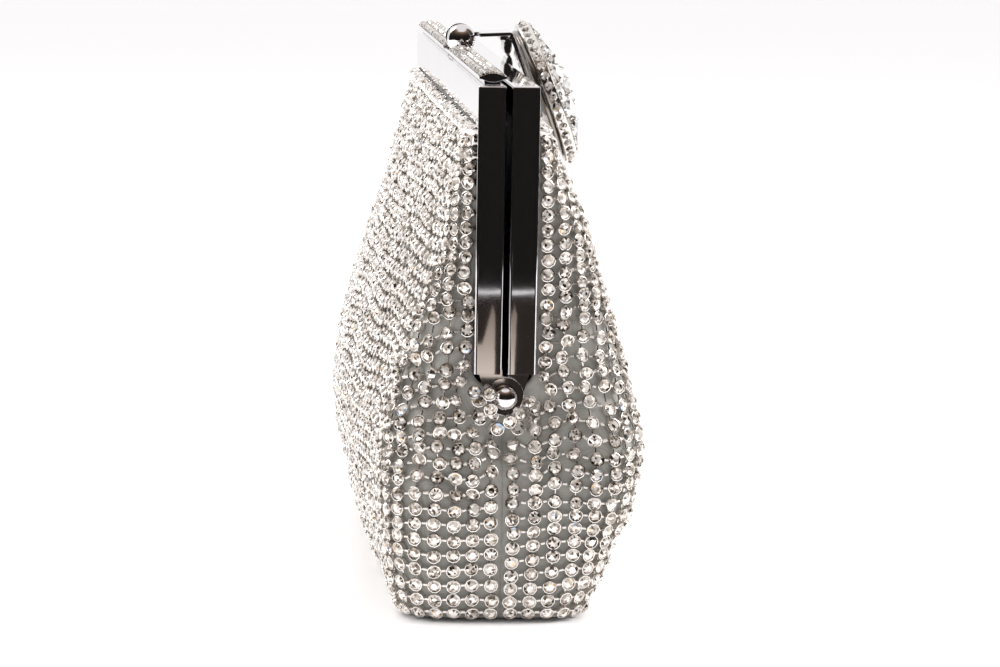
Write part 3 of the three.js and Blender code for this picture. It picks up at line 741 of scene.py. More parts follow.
def rod_mesh(name, radius, segments=5):
    """A rod one unit long, from the origin up."""
    bm = bmesh.new()
    bmesh.ops.create_cone(
        bm, cap_ends=True, segments=segments, radius1=radius * MM, radius2=radius * MM, depth=1,
    )
    bmesh.ops.translate(bm, vec=(0, 0, 0.5), verts=bm.verts)
    return to_mesh(bm, name)


net_cup = cup_mesh("net_cup", CUP_RINGS, 10)
net_stone = stone_mesh("net_stone", 1.28, 0.66, CUP_HEIGHT - 0.28, CUP_HEIGHT + 0.3)
bead_link = rod_mesh("bead_link", 0.38, 6)
thin_link = rod_mesh("thin_link", 0.2, 5)
for mesh in (net_cup, net_stone, bead_link):
    print(mesh.name, len(mesh.polygons), "faces")

# %% [markdown]
# ### Copying with a stamp
#
# A stamp adds a moved copy of a small mesh to one large mesh. One piece of two thousand cups is
# far quicker to draw and to export than two thousand objects. Each facet also gets a number of
# its own, and the crystal finish turns that number into a painted reflection, a shade from dark to
# bright.

# %% Stamping
class Stamp:
    """Collects moved copies of small meshes into one piece."""

    def __init__(self):
        self.bm = bmesh.new()

    def add(self, mesh, matrix):
        mesh.transform(matrix)
        self.bm.from_mesh(mesh, face_normals=False, vertex_normals=False)
        mesh.transform(matrix.inverted())

    def rod(self, mesh, start, end):
        """A rod mesh stretched between two points in metres."""
        run = end - start
        turn = run.to_track_quat("Z", "Y").to_matrix().to_4x4()
        stretch = Matrix.Diagonal((1, 1, run.length, 1))
        self.add(mesh, Matrix.Translation(start) @ turn @ stretch)

    def finish(self, name, materials, smooth=False):
        return finish_piece(self.bm, name, materials, smooth)


def paint_facet_reflections(piece):
    """A random number for every run of one to three facets, which the crystal finish turns into a
    painted reflection.
    """
    facets = piece.data.attributes.new("facet", "FLOAT", "FACE")
    values = []
    while len(values) < len(piece.data.polygons):
        values += [chance.random()] * chance.choice((1, 2, 2, 3))
    facets.data.foreach_set("value", values[:len(piece.data.polygons)])


def placed(here, along, outward, size=1.0, spin=0.0):
    """Matrix that stands a small mesh on a surface. here is in metres."""
    turn = Matrix((along, outward.cross(along), outward)).transposed().to_4x4()
    return (
        Matrix.Translation(here) @ turn @ Matrix.Rotation(spin, 4, "Z")
        @ Matrix.Scale(size, 4)
    )


# %% [markdown]
# ## The crystal net
#
# The stones sit in rows one above the other. Rows are spaced along the wall, not by height, so
# they stay even where the pouch leans. Each row holds the same number of stones from the middle
# of a long face to the middle of an end, and two fewer where the frame's leg covers the end. Rows
# and columns therefore run on unbroken, squeezed a little where the pouch is narrow, like cloth.

# %% Rows and columns
ROW_PITCH = 3.2
FIRST_ROW = 1.45
LAST_ROW = 100.7
PER_QUARTER = 29
HIDDEN_BY_LEG = 2
HINGE_CLEAR = 4.6


def row_heights(side):
    """Heights of the rows, evenly spaced along the wall from the base to the top bar."""
    step = 0.05
    z, walked, path = FIRST_ROW, 0.0, []
    while z < LAST_ROW:
        path.append((walked, z))
        depth_step = half_depth(60, z + step, side) - half_depth(60, z, side)
        walked += math.hypot(step, depth_step)
        z += step
    count = round(walked / ROW_PITCH)
    walks = [w for w, _ in path]
    return [
        path[min(bisect_right(walks, walked * row / count), len(path) - 1)][1]
        for row in range(count + 1)
    ]


def column_arc(column, z, side):
    """Arc of a column (0 beside the middle of the long face) in the row at this height."""
    whole = quarter_arc(z, side)
    low_pitch = whole / PER_QUARTER
    high_pitch = (whole - LEG_FACE - 0.3) / (PER_QUARTER - HIDDEN_BY_LEG)
    pitch = low_pitch + (high_pitch - low_pitch) * smooth_step(41, 54, z)
    return (column + 0.5) * pitch


def covered(arc, here, z, side):
    """True where a stone would lie under a leg or against the hinge."""
    from_end = quarter_arc(z, side) - arc
    if z > LEG_FOOT - 2.2 and from_end < LEG_FACE + 1.15:
        return True
    from_axis = math.hypot(here.y, here.z - HINGE_Z)
    return abs(here.x) > 80 and from_axis < HINGE_CLEAR


def disorder(here, z):
    """0 where the net lies even, up to 1 where it is crumpled by the hinge, at both ends."""
    if abs(here.x) < 74:
        return 0.0
    by_leg = smooth_step(30, 9, abs(z - 48)) * smooth_step(74, 86, abs(here.x))
    return by_leg * smooth_step(32, 13, abs(here.y))


def drift(x, z, seed):
    """Slow sideways and upward wander of the net over its cloth, in mm."""
    spot = Vector((x * 0.035, seed * 5.0, z * 0.03))
    fine = Vector((x * 0.12, seed * 9.0, z * 0.11))
    level = smooth_step(0, 12, z) * smooth_step(101, 92, z)
    return Vector((
        0.5 * noise.noise(spot + Vector((9, 0, 0))),
        1.9 * level * noise.noise(spot) + 0.5 * level * noise.noise(fine),
    ))


def lay_stones(side):
    """Frames of the stones of one half, by (row, column), with columns < 0 at the left."""
    stones = {}
    for row, z in enumerate(row_heights(side)):
        for column in range(-PER_QUARTER, PER_QUARTER):
            sign = 1 if column >= 0 else -1
            index = column if sign > 0 else -column - 1
            arc = column_arc(index, z, side)
            if arc > quarter_arc(z, side) - 0.8:
                continue
            first = wall_point(sign * arc, z, side)
            mess = disorder(first, z)
            wander = drift(first.x + 2 * first.y, z, side) * (1 + 1.2 * mess)
            spread = 0.07 + 0.26 * mess
            wander += Vector((chance.gauss(0, spread), chance.gauss(0, spread)))
            laid_z = min(max(z + wander.y, FIRST_ROW - 0.2), LAST_ROW + 0.2)
            laid_arc = min(arc + wander.x, quarter_arc(laid_z, side) - 1.5)
            here, along, up, outward = wall_frame(sign * laid_arc, laid_z, side)
            if covered(laid_arc, here, laid_z, side):
                continue
            lean = 0.08 + 0.16 * mess
            tilt = Vector((chance.gauss(0, lean), chance.gauss(0, lean)))
            outward = (outward + along * tilt.x + up * tilt.y).normalized()
            along = (along - outward * along.dot(outward)).normalized()
            lift = CLOTH_INSET * 0.92 - 0.5 * mess * chance.random()
            stones[row, column] = ((here - outward * lift) * MM, along, outward)
    return stones


nets = {half: lay_stones(side) for half, side in halves.items()}
print({half: len(stones) for half, stones in nets.items()}, "stones;",
      len(row_heights(1)), "and", len(row_heights(-1)), "rows")

# %% Cups, stones and links of both halves
def net_links(stones):
    """A bead between neighbours in a row and a thin low link between rows."""
    stamp = Stamp()
    for (row, column), (here, _, outward) in stones.items():
        for step, mesh, lift, share in (((0, 1), bead_link, 0.75, 0.4), ((1, 0), thin_link, 0.25, 0.34)):
            neighbour = stones.get((row + step[0], column + step[1]))
            if neighbour is None:
                continue
            there, _, there_outward = neighbour
            run = there - here
            if run.length > 5.6 * MM:
                continue
            start = here + outward * lift * MM + run * share
            end = there + there_outward * lift * MM - run * share
            stamp.rod(mesh, start, end)
    return stamp


for half, side in halves.items():
    cups, stones = Stamp(), Stamp()
    for here, along, outward in nets[half].values():
        size = chance.uniform(0.97, 1.03)
        cups.add(net_cup, placed(here, along, outward, size, chance.uniform(0, 0.6)))
        stones.add(net_stone, placed(here, along, outward, size, chance.uniform(0, 0.8)))
    cup_piece = cups.finish(f"{half}_net_cups", [cup_silver])
    cup_piece.data.shade_smooth()
    cup_piece.data.set_sharp_from_angle(angle=math.radians(50))
    stone_piece = stones.finish(f"{half}_net_stones", [mesh_crystal])
    paint_facet_reflections(stone_piece)
    link_piece = net_links(nets[half]).finish(f"{half}_net_links", [cup_silver], True)
    link_piece.data.set_sharp_from_angle(angle=math.radians(50))
    for piece in (cup_piece, stone_piece, link_piece):
        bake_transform(piece)
        print(piece.name, len(piece.data.polygons), "faces")

# %% [markdown]
# ## The half frames
#
# Each half frame is bent from one polished channel with soft corners. Eight points draw the
# upside-down U, an extrusion gives it its thickness, and bevels round its edges: wide ones where
# the hand meets it, narrow ones inside. A mirror shows every fault in shading, so a
# Weighted Normal modifier lets the large flat faces rule the light and keeps them truly flat.

# %% Helpers for hard pieces
def near(value, *targets):
    return any(abs(value - target * MM) < 0.02 * MM for target in targets)


def extruded(points, normal_axis, low, high):
    """A bmesh of an outline given in mm, extruded along X (points y, z) or Y (points x, z)."""
    bm = bmesh.new()
    if normal_axis == "X":
        verts = [bm.verts.new((low * MM, u * MM, v * MM)) for u, v in points]
        run = ((high - low) * MM, 0, 0)
    else:
        verts = [bm.verts.new((u * MM, low * MM, v * MM)) for u, v in points]
        run = (0, (high - low) * MM, 0)
    bm.faces.new(verts)
    raised = bmesh.ops.extrude_face_region(bm, geom=list(bm.faces))
    moved = [v for v in raised["geom"] if isinstance(v, bmesh.types.BMVert)]
    bmesh.ops.translate(bm, vec=run, verts=moved)
    bmesh.ops.recalc_face_normals(bm, faces=bm.faces)
    return bm


def soften(bm, edges, offset, segments=3):
    bmesh.ops.bevel(
        bm, geom=edges, offset=offset * MM, segments=segments, affect="EDGES", profile=0.5,
        material=-1, clamp_overlap=True,
    )


def finish_hard(bm, name, materials):
    """A hard piece: smooth bevels, and flat faces that stay flat."""
    bmesh.ops.recalc_face_normals(bm, faces=bm.faces)
    piece = finish_piece(bm, name, materials)
    piece.data.set_sharp_from_angle(angle=math.radians(50))
    shading = piece.modifiers.new("even_shading", "WEIGHTED_NORMAL")
    shading.keep_sharp = True
    return piece


def block(bm, low, high, offset=0.15, segments=2):
    """Adds a box between two corners in mm, with soft edges."""
    made = bmesh.ops.create_cube(bm, size=1)
    size = [(h - l) * MM for l, h in zip(low, high)]
    middle = [(h + l) / 2 * MM for l, h in zip(low, high)]
    bmesh.ops.scale(bm, vec=size, verts=made["verts"])
    bmesh.ops.translate(bm, vec=middle, verts=made["verts"])
    soften(bm, list({e for v in made["verts"] for e in v.link_edges}), offset, segments)


def ball_bmesh(profile, axis_x, axis_y, axis_z, steps=48):
    """Turns a (distance along X, radius) profile, in mm, about an axis parallel to X."""
    bm = bmesh.new()
    verts = [bm.verts.new((x * MM, 0, r * MM)) for x, r in profile]
    edges = [bm.edges.new(pair) for pair in zip(verts, verts[1:])]
    bmesh.ops.spin(
        bm, geom=verts + edges, cent=(0, 0, 0), axis=(1, 0, 0), angle=2 * math.pi, steps=steps,
        use_merge=True,
    )
    bmesh.ops.remove_doubles(bm, verts=bm.verts, dist=1e-7)
    bmesh.ops.recalc_face_normals(bm, faces=bm.faces)
    bmesh.ops.translate(bm, vec=(axis_x * MM, axis_y * MM, axis_z * MM), verts=bm.verts)
    return bm


# %% Half frames
HALF_LENGTH = 95
LEG_DEPTH = 10
FRAME_TOP = 109.5
FRAME_INNER_Y = 0.55
FRAME_OUTER_Y = 6.3
LEG_BOTTOM = 51
LUG_RADIUS = 4
LUG_THICKNESS = 1.4


def half_frame(name, lug_face):
    """The back half frame. lug_face is the distance of its lugs' outer faces from the middle."""
    inner = HALF_LENGTH - LEG_DEPTH
    outline = [
        (-HALF_LENGTH, LEG_BOTTOM), (-HALF_LENGTH, FRAME_TOP), (HALF_LENGTH, FRAME_TOP),
        (HALF_LENGTH, LEG_BOTTOM), (inner, LEG_BOTTOM), (inner, BAR_UNDERSIDE),
        (-inner, BAR_UNDERSIDE), (-inner, LEG_BOTTOM),
    ]
    bm = extruded(outline, "Y", FRAME_INNER_Y, FRAME_OUTER_Y)

    def outside(vert):
        return near(abs(vert.co.x), HALF_LENGTH) or near(vert.co.z, FRAME_TOP)

    def seen(edge):
        low = all(near(v.co.z, LEG_BOTTOM) for v in edge.verts)
        return all(outside(v) for v in edge.verts) and not low

    soften(bm, [e for e in bm.edges if seen(e)], 0.6, 5)
    rest = [
        e for e in bm.edges
        if e.calc_face_angle(0) > 1.2 and e.calc_length() > 0.5 * MM
    ]
    soften(bm, rest, 0.35, 2)
    for end in (-1, 1):
        outer_x = end * (lug_face - 0.06)
        inner_x = end * (lug_face - LUG_THICKNESS + 0.06)
        lug = extruded(
            [
                (FRAME_INNER_Y, LEG_BOTTOM + 1), (FRAME_INNER_Y, HINGE_Z),
                (3.8, HINGE_Z - 0.8), (4.15, HINGE_Z + 1.2), (4.75, HINGE_Z + 3.0),
                (FRAME_OUTER_Y - 0.8, LEG_BOTTOM + 1),
            ], "X", min(outer_x, inner_x), max(outer_x, inner_x),
        )
        eye = bmesh.ops.create_cone(
            lug, cap_ends=True, segments=40, radius1=LUG_RADIUS * MM, radius2=LUG_RADIUS * MM,
            depth=(LUG_THICKNESS - 0.04) * MM,
            matrix=Matrix.Translation(((outer_x + inner_x) / 2 * MM, 0, HINGE_Z * MM))
            @ Matrix.Rotation(math.pi / 2, 4, "Y"),
        )
        rim = {e for v in eye["verts"] for e in v.link_edges}
        soften(lug, [e for e in rim if e.calc_face_angle(0) > 1.2], 0.25, 2)
        part = bpy.data.meshes.new("lug")
        lug.to_mesh(part)
        lug.free()
        bm.from_mesh(part)
    return bm


def turned_round(bm):
    """The front half is the back half turned half round about Z."""
    bmesh.ops.rotate(bm, matrix=Matrix.Rotation(math.pi, 3, "Z"), verts=bm.verts)
    return bm


back_rail = finish_hard(half_frame("back_rail", HALF_LENGTH), "back_rail", [nickel])
front_rail = finish_hard(
    turned_round(half_frame("front_rail", HALF_LENGTH - 1.7)), "front_rail", [nickel],
)
for rail, half in ((back_rail, "back"), (front_rail, "front")):
    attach(rail, f"{half}_half")
    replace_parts(rail, f"{half}_frame")
print("rails:", len(back_rail.data.polygons), "faces each")

# %% [markdown]
# ## Hinge rivets
#
# A rivet with a ball head holds each end of both halves. The ball is turned from a half circle, so
# a spin about the rivet's axis makes it, with a small collar where the head meets the lug.

# %% Rivets
BALL_RIVET = 2.42


def rivet(name, end):
    head_base = -HALF_LENGTH - 0.3
    ball_turn = math.asin(0.78)
    centre = head_base - BALL_RIVET * math.cos(ball_turn)
    profile = [
        (centre - BALL_RIVET * math.cos(t), BALL_RIVET * math.sin(t))
        for t in [i * (math.pi - ball_turn) / 20 for i in range(21)]
    ]
    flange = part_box("left_hinge_rivet")[1].x / MM
    profile += [
        (head_base + 0.05, 1.75), (head_base + 0.05, 1.2), (flange - 0.8, 1.2),
        (flange - 0.8, 2.2), (flange, 2.2), (flange, 0),
    ]
    bm = ball_bmesh(profile, 0, 0, HINGE_Z)
    if end > 0:
        turned_round(bm)
    piece = finish_hard(bm, name, [nickel])
    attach(piece, "bag_body")
    return piece


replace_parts(rivet("left_ball_rivet", -1), "left_hinge_rivet")
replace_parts(rivet("right_ball_rivet", 1), "right_hinge_rivet")

# %% [markdown]
# ## Crystal trim on the back bar
#
# Two lens-shaped strips run along the back bar, one on each side of the clasp, each set with three
# rows of tiny stones between thin metal lips. The strip is a circle flattened to a lens and
# extruded. The stones are the same stamp as before, only smaller, with a grain of metal between.

# %% Trim strips
FRAME_MIDDLE_Y = (FRAME_INNER_Y + FRAME_OUTER_Y) / 2
TRIM_HALF_WIDTH = 2.8
TRIM_LOW = FRAME_TOP + 0.7
TRIM_HIGH = 1.8
TRIM_INNER = 7
pave_stone = stone_mesh("pave_stone", 0.82, 0.42, 0.0, 0.5, 6)
grain = rod_mesh("grain", 0.2, 5)
# The trim's stones take the same painted facet reflections, dimmed to 0.72.
pave_crystal = crystal("pave_crystal", [
    (position, tuple(0.72 * c for c in color)) for position, color in PAINTED_FACET_REFLECTIONS
], 0.1)


def lens_height(y):
    """Top of the strip above its own middle plane, at a distance from its middle line."""
    return 0.5 * TRIM_HIGH * (1 - (y / TRIM_HALF_WIDTH) ** 2)


def trim_strip(name, end):
    bm = bmesh.new()
    bmesh.ops.create_circle(bm, cap_ends=True, segments=36, radius=TRIM_HALF_WIDTH * MM)
    for vert in bm.verts:
        y = vert.co.y / MM
        rise = math.copysign(max(lens_height(y), 0.3), vert.co.x)
        vert.co = (
            end * HALF_LENGTH * MM, (FRAME_MIDDLE_Y + y) * MM,
            (TRIM_LOW + TRIM_HIGH / 2 + rise) * MM,
        )
    raised = bmesh.ops.extrude_face_region(bm, geom=list(bm.faces))
    moved = [v for v in raised["geom"] if isinstance(v, bmesh.types.BMVert)]
    bmesh.ops.translate(bm, vec=(end * (TRIM_INNER - HALF_LENGTH) * MM, 0, 0), verts=moved)
    bmesh.ops.recalc_face_normals(bm, faces=bm.faces)
    ends = [e for e in bm.edges if near(e.verts[0].co.x, *(end * x for x in (HALF_LENGTH, TRIM_INNER)))
            and abs(e.verts[0].co.x - e.verts[1].co.x) < 1e-9]
    soften(bm, ends, 0.12, 2)
    low, high = sorted((end * (HALF_LENGTH - 1.2), end * (TRIM_INNER + 0.8)))
    block(bm, (low, FRAME_MIDDLE_Y - 1.7, FRAME_TOP + 0.02),
          (high, FRAME_MIDDLE_Y + 1.7, TRIM_LOW + 0.7))
    piece = finish_hard(bm, name, [nickel])
    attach(piece, "back_half")
    return piece


def trim_stones(end):
    stones, grains = Stamp(), Stamp()
    pitch = 1.72
    count = int((HALF_LENGTH - TRIM_INNER - 1) / pitch)
    top = TRIM_LOW + TRIM_HIGH / 2
    for i in range(count):
        x = end * (HALF_LENGTH - 1.1 - pitch * i)
        for lane in (-1, 0, 1):
            y = lane * 1.66
            slope = -TRIM_HIGH * y / TRIM_HALF_WIDTH ** 2
            outward = Vector((0, -slope, 1)).normalized()
            here = Vector((x, FRAME_MIDDLE_Y + y, top + lens_height(y) - 0.02)) * MM
            stones.add(pave_stone, placed(here, Vector((1, 0, 0)), outward,
                                          chance.uniform(0.96, 1.06), chance.uniform(0, 1)))
        for y in (-2.45, -0.83, 0.83, 2.45):
            foot = Vector((x - end * pitch / 2, FRAME_MIDDLE_Y + y, top + lens_height(y) - 0.1))
            grains.rod(grain, foot * MM, (foot + Vector((0, 0, 0.38))) * MM)
    return stones, grains


for side_name, end in (("left", -1), ("right", 1)):
    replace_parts(trim_strip(f"{side_name}_trim_strip", end), f"{side_name}_trim_bar")
    stones, grains = trim_stones(end)
    stone_piece = stones.finish(f"{side_name}_trim_stones", [pave_crystal])
    paint_facet_reflections(stone_piece)
    grain_piece = grains.finish(f"{side_name}_trim_grains", [setting_silver], True)
    for piece in (stone_piece, grain_piece):
        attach(piece, "back_half")
    print(side_name, "trim:", len(stone_piece.data.polygons) // 14, "stones")

# %% [markdown]
# ## Clasp hinge
#
# The clasp turns inside a split ball. Each half of the ball stands on a low plate on the back bar
# and holds one end of the pin, and the flap's knuckle sits between the two halves.

# %% Bracket, balls and pin
BARREL_Y = clasp_axis.y / MM
BARREL_Z = clasp_axis.z / MM
BALL_RADIUS = 3.2
FLAT_X = 2.2
SEAT_TOP = 110.4


def clasp_seat():
    bm = bmesh.new()
    block(bm, (-6.4, BARREL_Y - 2.2, FRAME_TOP + 0.05), (6.4, BARREL_Y + 2.2, SEAT_TOP))
    for end in (-1, 1):
        low, high = sorted((end * FLAT_X, end * (FLAT_X + 2.6)))
        block(bm, (low, BARREL_Y - 1.3, SEAT_TOP - 0.1), (high, BARREL_Y + 1.3, BARREL_Z - 1.8))
    return finish_hard(bm, "clasp_seat", [nickel])


def half_ball(name, end):
    """Half a ball with a fine step turned near its pole and a flat face towards the knuckle."""
    steps = 20
    profile = []
    for i in range(steps + 1):
        turn = 0.5 * math.pi * i / steps
        radius = BALL_RADIUS - (0.08 if i < 11 else 0)
        profile.append((-radius * math.cos(turn), radius * math.sin(turn)))
    profile[0] = (profile[0][0], 0)
    profile[-1] = (-0.12, BALL_RADIUS - 0.01)
    profile += [(0, BALL_RADIUS - 0.15), (0, 0)]
    if end > 0:
        profile = [(-x, r) for x, r in profile]
    ball = ball_bmesh(profile, end * FLAT_X, BARREL_Y, BARREL_Z, 64)
    piece = finish_hard(ball, name, [nickel])
    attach(piece, "back_half")
    return piece


seat = clasp_seat()
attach(seat, "back_half")
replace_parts(seat, "clasp_bracket")
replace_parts(half_ball("left_half_ball", -1), "left_ball_finial")
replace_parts(half_ball("right_half_ball", 1), "right_ball_finial")
print("clasp axis at y", round(BARREL_Y, 2), "z", round(BARREL_Z, 2), "mm")

# %% [markdown]
# ## Clasp flap and catch
#
# The flap is one strip of metal, rolled round the pin at the back, level over both bars, and bent
# down in front. Drawing its bent edge as a line, extruding the line across and giving the sheet a
# thickness keeps both faces parallel through the bend, as bending does with real sheet metal. The
# catch under it is a folded spring with two rounded lobes that grip the front bar.

# %% Flap
PLATE_TOP = BARREL_Z + 1.7
PLATE_FRONT = -8.2
FLAP_TILT = math.radians(21)
FLAP_LEG = 20
PLATE_HALF_WIDTH = 5.6
PLATE_THICKNESS = 0.85


def down_leg(distance, inward=0.0):
    """Point on the outer face of the flap's front leg, as (y, z) in mm."""
    return (
        PLATE_FRONT - distance * math.sin(FLAP_TILT) + inward * math.cos(FLAP_TILT),
        PLATE_TOP - distance * math.cos(FLAP_TILT) - inward * math.sin(FLAP_TILT),
    )


def bent_strip(path, half_width, thickness, edge=0.12):
    """A strip along a (y, z) path in mm, its thickness added to the inner side."""
    bm = bmesh.new()
    verts = [bm.verts.new((-half_width * MM, y * MM, z * MM)) for y, z in path]
    edges = [bm.edges.new(pair) for pair in zip(verts, verts[1:])]
    grown = bmesh.ops.extrude_edge_only(bm, edges=edges)
    moved = [v for v in grown["geom"] if isinstance(v, bmesh.types.BMVert)]
    bmesh.ops.translate(bm, vec=(2 * half_width * MM, 0, 0), verts=moved)
    bmesh.ops.recalc_face_normals(bm, faces=bm.faces)
    bmesh.ops.solidify(bm, geom=list(bm.faces), thickness=thickness * MM)
    bmesh.ops.recalc_face_normals(bm, faces=bm.faces)
    soften(bm, [e for e in bm.edges if e.calc_face_angle(0) > 1.2], edge, 2)
    return bm


def arc_points(centre, radius, start, end, count):
    return [
        (centre[0] + radius * math.cos(start + (end - start) * i / count),
         centre[1] + radius * math.sin(start + (end - start) * i / count))
        for i in range(count + 1)
    ]


corner_radius = 0.9
bend_sweep = math.pi / 2 - FLAP_TILT
corner_reach = corner_radius * math.tan(bend_sweep / 2)
bend_centre = (PLATE_FRONT + corner_reach, PLATE_TOP - corner_radius)
bend = arc_points(bend_centre, corner_radius, math.pi / 2, math.pi - FLAP_TILT, 6)
flap_path = [(-0.9, PLATE_TOP - 0.3)] + bend + [down_leg(FLAP_LEG)]
flap_bm = bent_strip(flap_path, PLATE_HALF_WIDTH, PLATE_THICKNESS)
barrel = ball_bmesh(
    [(-1.9, 1.1), (-1.9, 1.58), (-1.78, 1.7), (1.78, 1.7), (1.9, 1.58), (1.9, 1.1), (-1.9, 1.1)],
    0, BARREL_Y, BARREL_Z, 40,
)
part = bpy.data.meshes.new("barrel")
barrel.to_mesh(part)
barrel.free()
flap_bm.from_mesh(part)
block(flap_bm, (-1.9, -1.6, PLATE_TOP - 1.15), (1.9, BARREL_Y, PLATE_TOP - 0.25), 0.05)
flap = finish_hard(flap_bm, "clasp_flap", [nickel])
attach(flap, "clasp")
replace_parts(flap, "clasp_plate")
print("flap corner at y", PLATE_FRONT, "z", round(PLATE_TOP, 1))

# %% Spring catch
def lobe(centre, reach, start, end, count=9):
    """Points of an oval lobe, as (y, z) in mm, between two angles in degrees."""
    turns = [math.radians(start + (end - start) * i / count) for i in range(count + 1)]
    return [
        (centre[0] + reach[0] * math.cos(t), centre[1] + reach[1] * math.sin(t)) for t in turns
    ]


UPPER_LOBE = ((-7.35, 112.15), (0.92, 1.95))
LOWER_LOBE = ((-7.7, 108.15), (0.8, 1.75))
catch_outline = (
    lobe(*UPPER_LOBE, 90, -65) + lobe(*LOWER_LOBE, 65, -245, 16) + lobe(*UPPER_LOBE, -115, -262)
)
catch_bm = extruded(catch_outline, "X", -4.4, 4.4)
soften(catch_bm, [e for e in catch_bm.edges
                  if abs(abs(e.verts[0].co.x) - 4.4 * MM) < 1e-7
                  and abs(e.verts[0].co.x - e.verts[1].co.x) < 1e-9], 0.42, 4)
block(catch_bm, (-4.3, -7.3, PLATE_TOP - 1.9), (4.3, -5.6, PLATE_TOP - 0.8), 0.15)
catch = finish_hard(catch_bm, "catch_spring", [nickel])
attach(catch, "clasp")
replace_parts(catch, "spring_catch")
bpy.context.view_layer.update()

# %% [markdown]
# ## The brooch
#
# The brooch is a flower of large stones on a round plate, inside a rim set with rows of small
# ones. It is built lying flat round the origin, as a jeweller would hold it, and one matrix then
# stands every piece of it on the flap's leaning leg.

# %% Where the brooch sits, and its setting tools
BROOCH_DOWN = 15.5
BROOCH_RADIUS = 16.5
seat_y, seat_z = down_leg(BROOCH_DOWN)
stand = (
    Matrix.Translation(Vector((0, seat_y, seat_z)) * MM)
    @ Matrix.Rotation(math.pi / 2 - FLAP_TILT, 4, "X")
)
# The brooch's stones have their own painted facet reflections, from near black to white.
brooch_crystal = crystal("brooch_crystal", [
    (0.00, (0.05, 0.045, 0.04)), (0.08, (0.22, 0.20, 0.18)), (0.18, (0.50, 0.48, 0.45)),
    (0.36, (0.76, 0.75, 0.73)), (0.58, (0.97, 0.96, 0.95)),
], 0.04)
rim_stone = stone_mesh("rim_stone", 1.12, 0.6, 0.0, 0.55, 8)
claw_mesh = rod_mesh("claw", 0.3, 6)


def on_ring(radius, turn, height):
    return Vector((radius * math.cos(turn), radius * math.sin(turn), height)) * MM


def leaning(turn, lean):
    """Outward direction that leans away from the middle, and the direction round the ring."""
    away = Vector((math.cos(turn), math.sin(turn), 0))
    outward = (Vector((0, 0, 1)) * math.cos(lean) + away * math.sin(lean)).normalized()
    return outward, Vector((-math.sin(turn), math.cos(turn), 0))


def large_stone(name, girdle, low, high, points=12):
    """A large cut stone with two crown rows, a table and a short point below."""
    bm = bmesh.new()
    bmesh.ops.create_circle(bm, cap_ends=True, segments=points, radius=0.5 * girdle * MM)
    bmesh.ops.translate(bm, vec=(0, 0, low * MM), verts=bm.verts)
    rise = high - low
    edges = list(bm.edges)
    for radius, share, turned_by in (
        (girdle, 0.42, 0), (0.8 * girdle, 0.78, 0.5), (0.52 * girdle, 1.0, 0.5),
    ):
        edges = grow_ring(
            bm, edges, radius, low + rise * share, turned_by * 2 * math.pi / points,
        )
    bmesh.ops.edgeloop_fill(bm, edges=edges)
    quads = [f for f in bm.faces if len(f.verts) == 4]
    bmesh.ops.triangulate(bm, faces=quads, quad_method="SHORT_EDGE")
    return to_mesh(bm, name)


def finish_brooch(piece, slot_name, *nodes):
    piece.data.transform(stand)
    piece.data.update()
    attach(piece, "clasp")
    if nodes:
        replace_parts(piece, *nodes)
    return piece


# %% Plate and rim
def turned_ring(profile, segments):
    """A closed (radius, height) profile in mm turned about Z."""
    bm = bmesh.new()
    verts = [bm.verts.new((r * MM, 0, h * MM)) for r, h in profile]
    edges = [bm.edges.new(pair) for pair in zip(verts, verts[1:] + verts[:1])]
    bmesh.ops.spin(
        bm, geom=verts + edges, cent=(0, 0, 0), axis=(0, 0, 1), angle=2 * math.pi,
        steps=segments, use_merge=True,
    )
    bmesh.ops.remove_doubles(bm, verts=bm.verts, dist=1e-7)
    return bm


plate_bm = bmesh.new()
bmesh.ops.create_cone(
    plate_bm, cap_ends=True, segments=64, radius1=15.2 * MM, radius2=15.2 * MM, depth=1.0 * MM,
)
bmesh.ops.translate(plate_bm, vec=(0, 0, 0.8 * MM), verts=plate_bm.verts)
soften(plate_bm, [e for e in plate_bm.edges if e.calc_face_angle(0) > 1.2], 0.25, 2)
finish_brooch(finish_hard(plate_bm, "brooch_plate", [plate_dark]), "polished_nickel",
              "brooch_back_plate")
rim_profile = [
    (13.9, 1.45), (16.1, 1.45), (16.45, 1.8), (16.35, 3.9), (15.95, 4.3), (14.4, 4.35),
    (13.9, 3.9),
]
rim = finish_hard(turned_ring(rim_profile, 72), "brooch_rim_band", [setting_silver])
finish_brooch(rim, "pave", "brooch_rim")

# %% Rows of small stones on the rim
rim_stones, rim_grains = Stamp(), Stamp()
RIM_COUNT = 42
for i in range(RIM_COUNT):
    for row, (radius, height, lean) in enumerate(
        ((16.35, 2.9, math.radians(80)), (14.95, 4.3, math.radians(8))),
    ):
        turn = 2 * math.pi * (i + 0.5 * (row % 2)) / RIM_COUNT
        outward, around = leaning(turn, lean)
        size = chance.uniform(0.95, 1.03) * (0.93 if row == 1 else 1)
        rim_stones.add(rim_stone, placed(
            on_ring(radius, turn, height), around, outward, size, chance.uniform(0, 1),
        ))
        outward, _ = leaning(turn + math.pi / RIM_COUNT, lean)
        foot = on_ring(radius, turn + math.pi / RIM_COUNT, height)
        rim_grains.rod(grain, foot, foot + outward * 0.55 * MM)
rim_crystals = rim_stones.finish("brooch_rim_stones", [pave_crystal])
paint_facet_reflections(rim_crystals)
finish_brooch(rim_crystals, "pave")
finish_brooch(rim_grains.finish("brooch_rim_grains", [setting_silver], True), "pave")
print("rim:", RIM_COUNT * 2, "stones")

# %% [markdown]
# ### The flower
#
# Eight oval stones form the petals, with smaller round ones between and inside them, and one
# large stone on a raised cup in the middle. Claws hold them: thin rods that rise beside a stone
# and bend over its edge. The petals lean outward, so their inner ends stand higher.

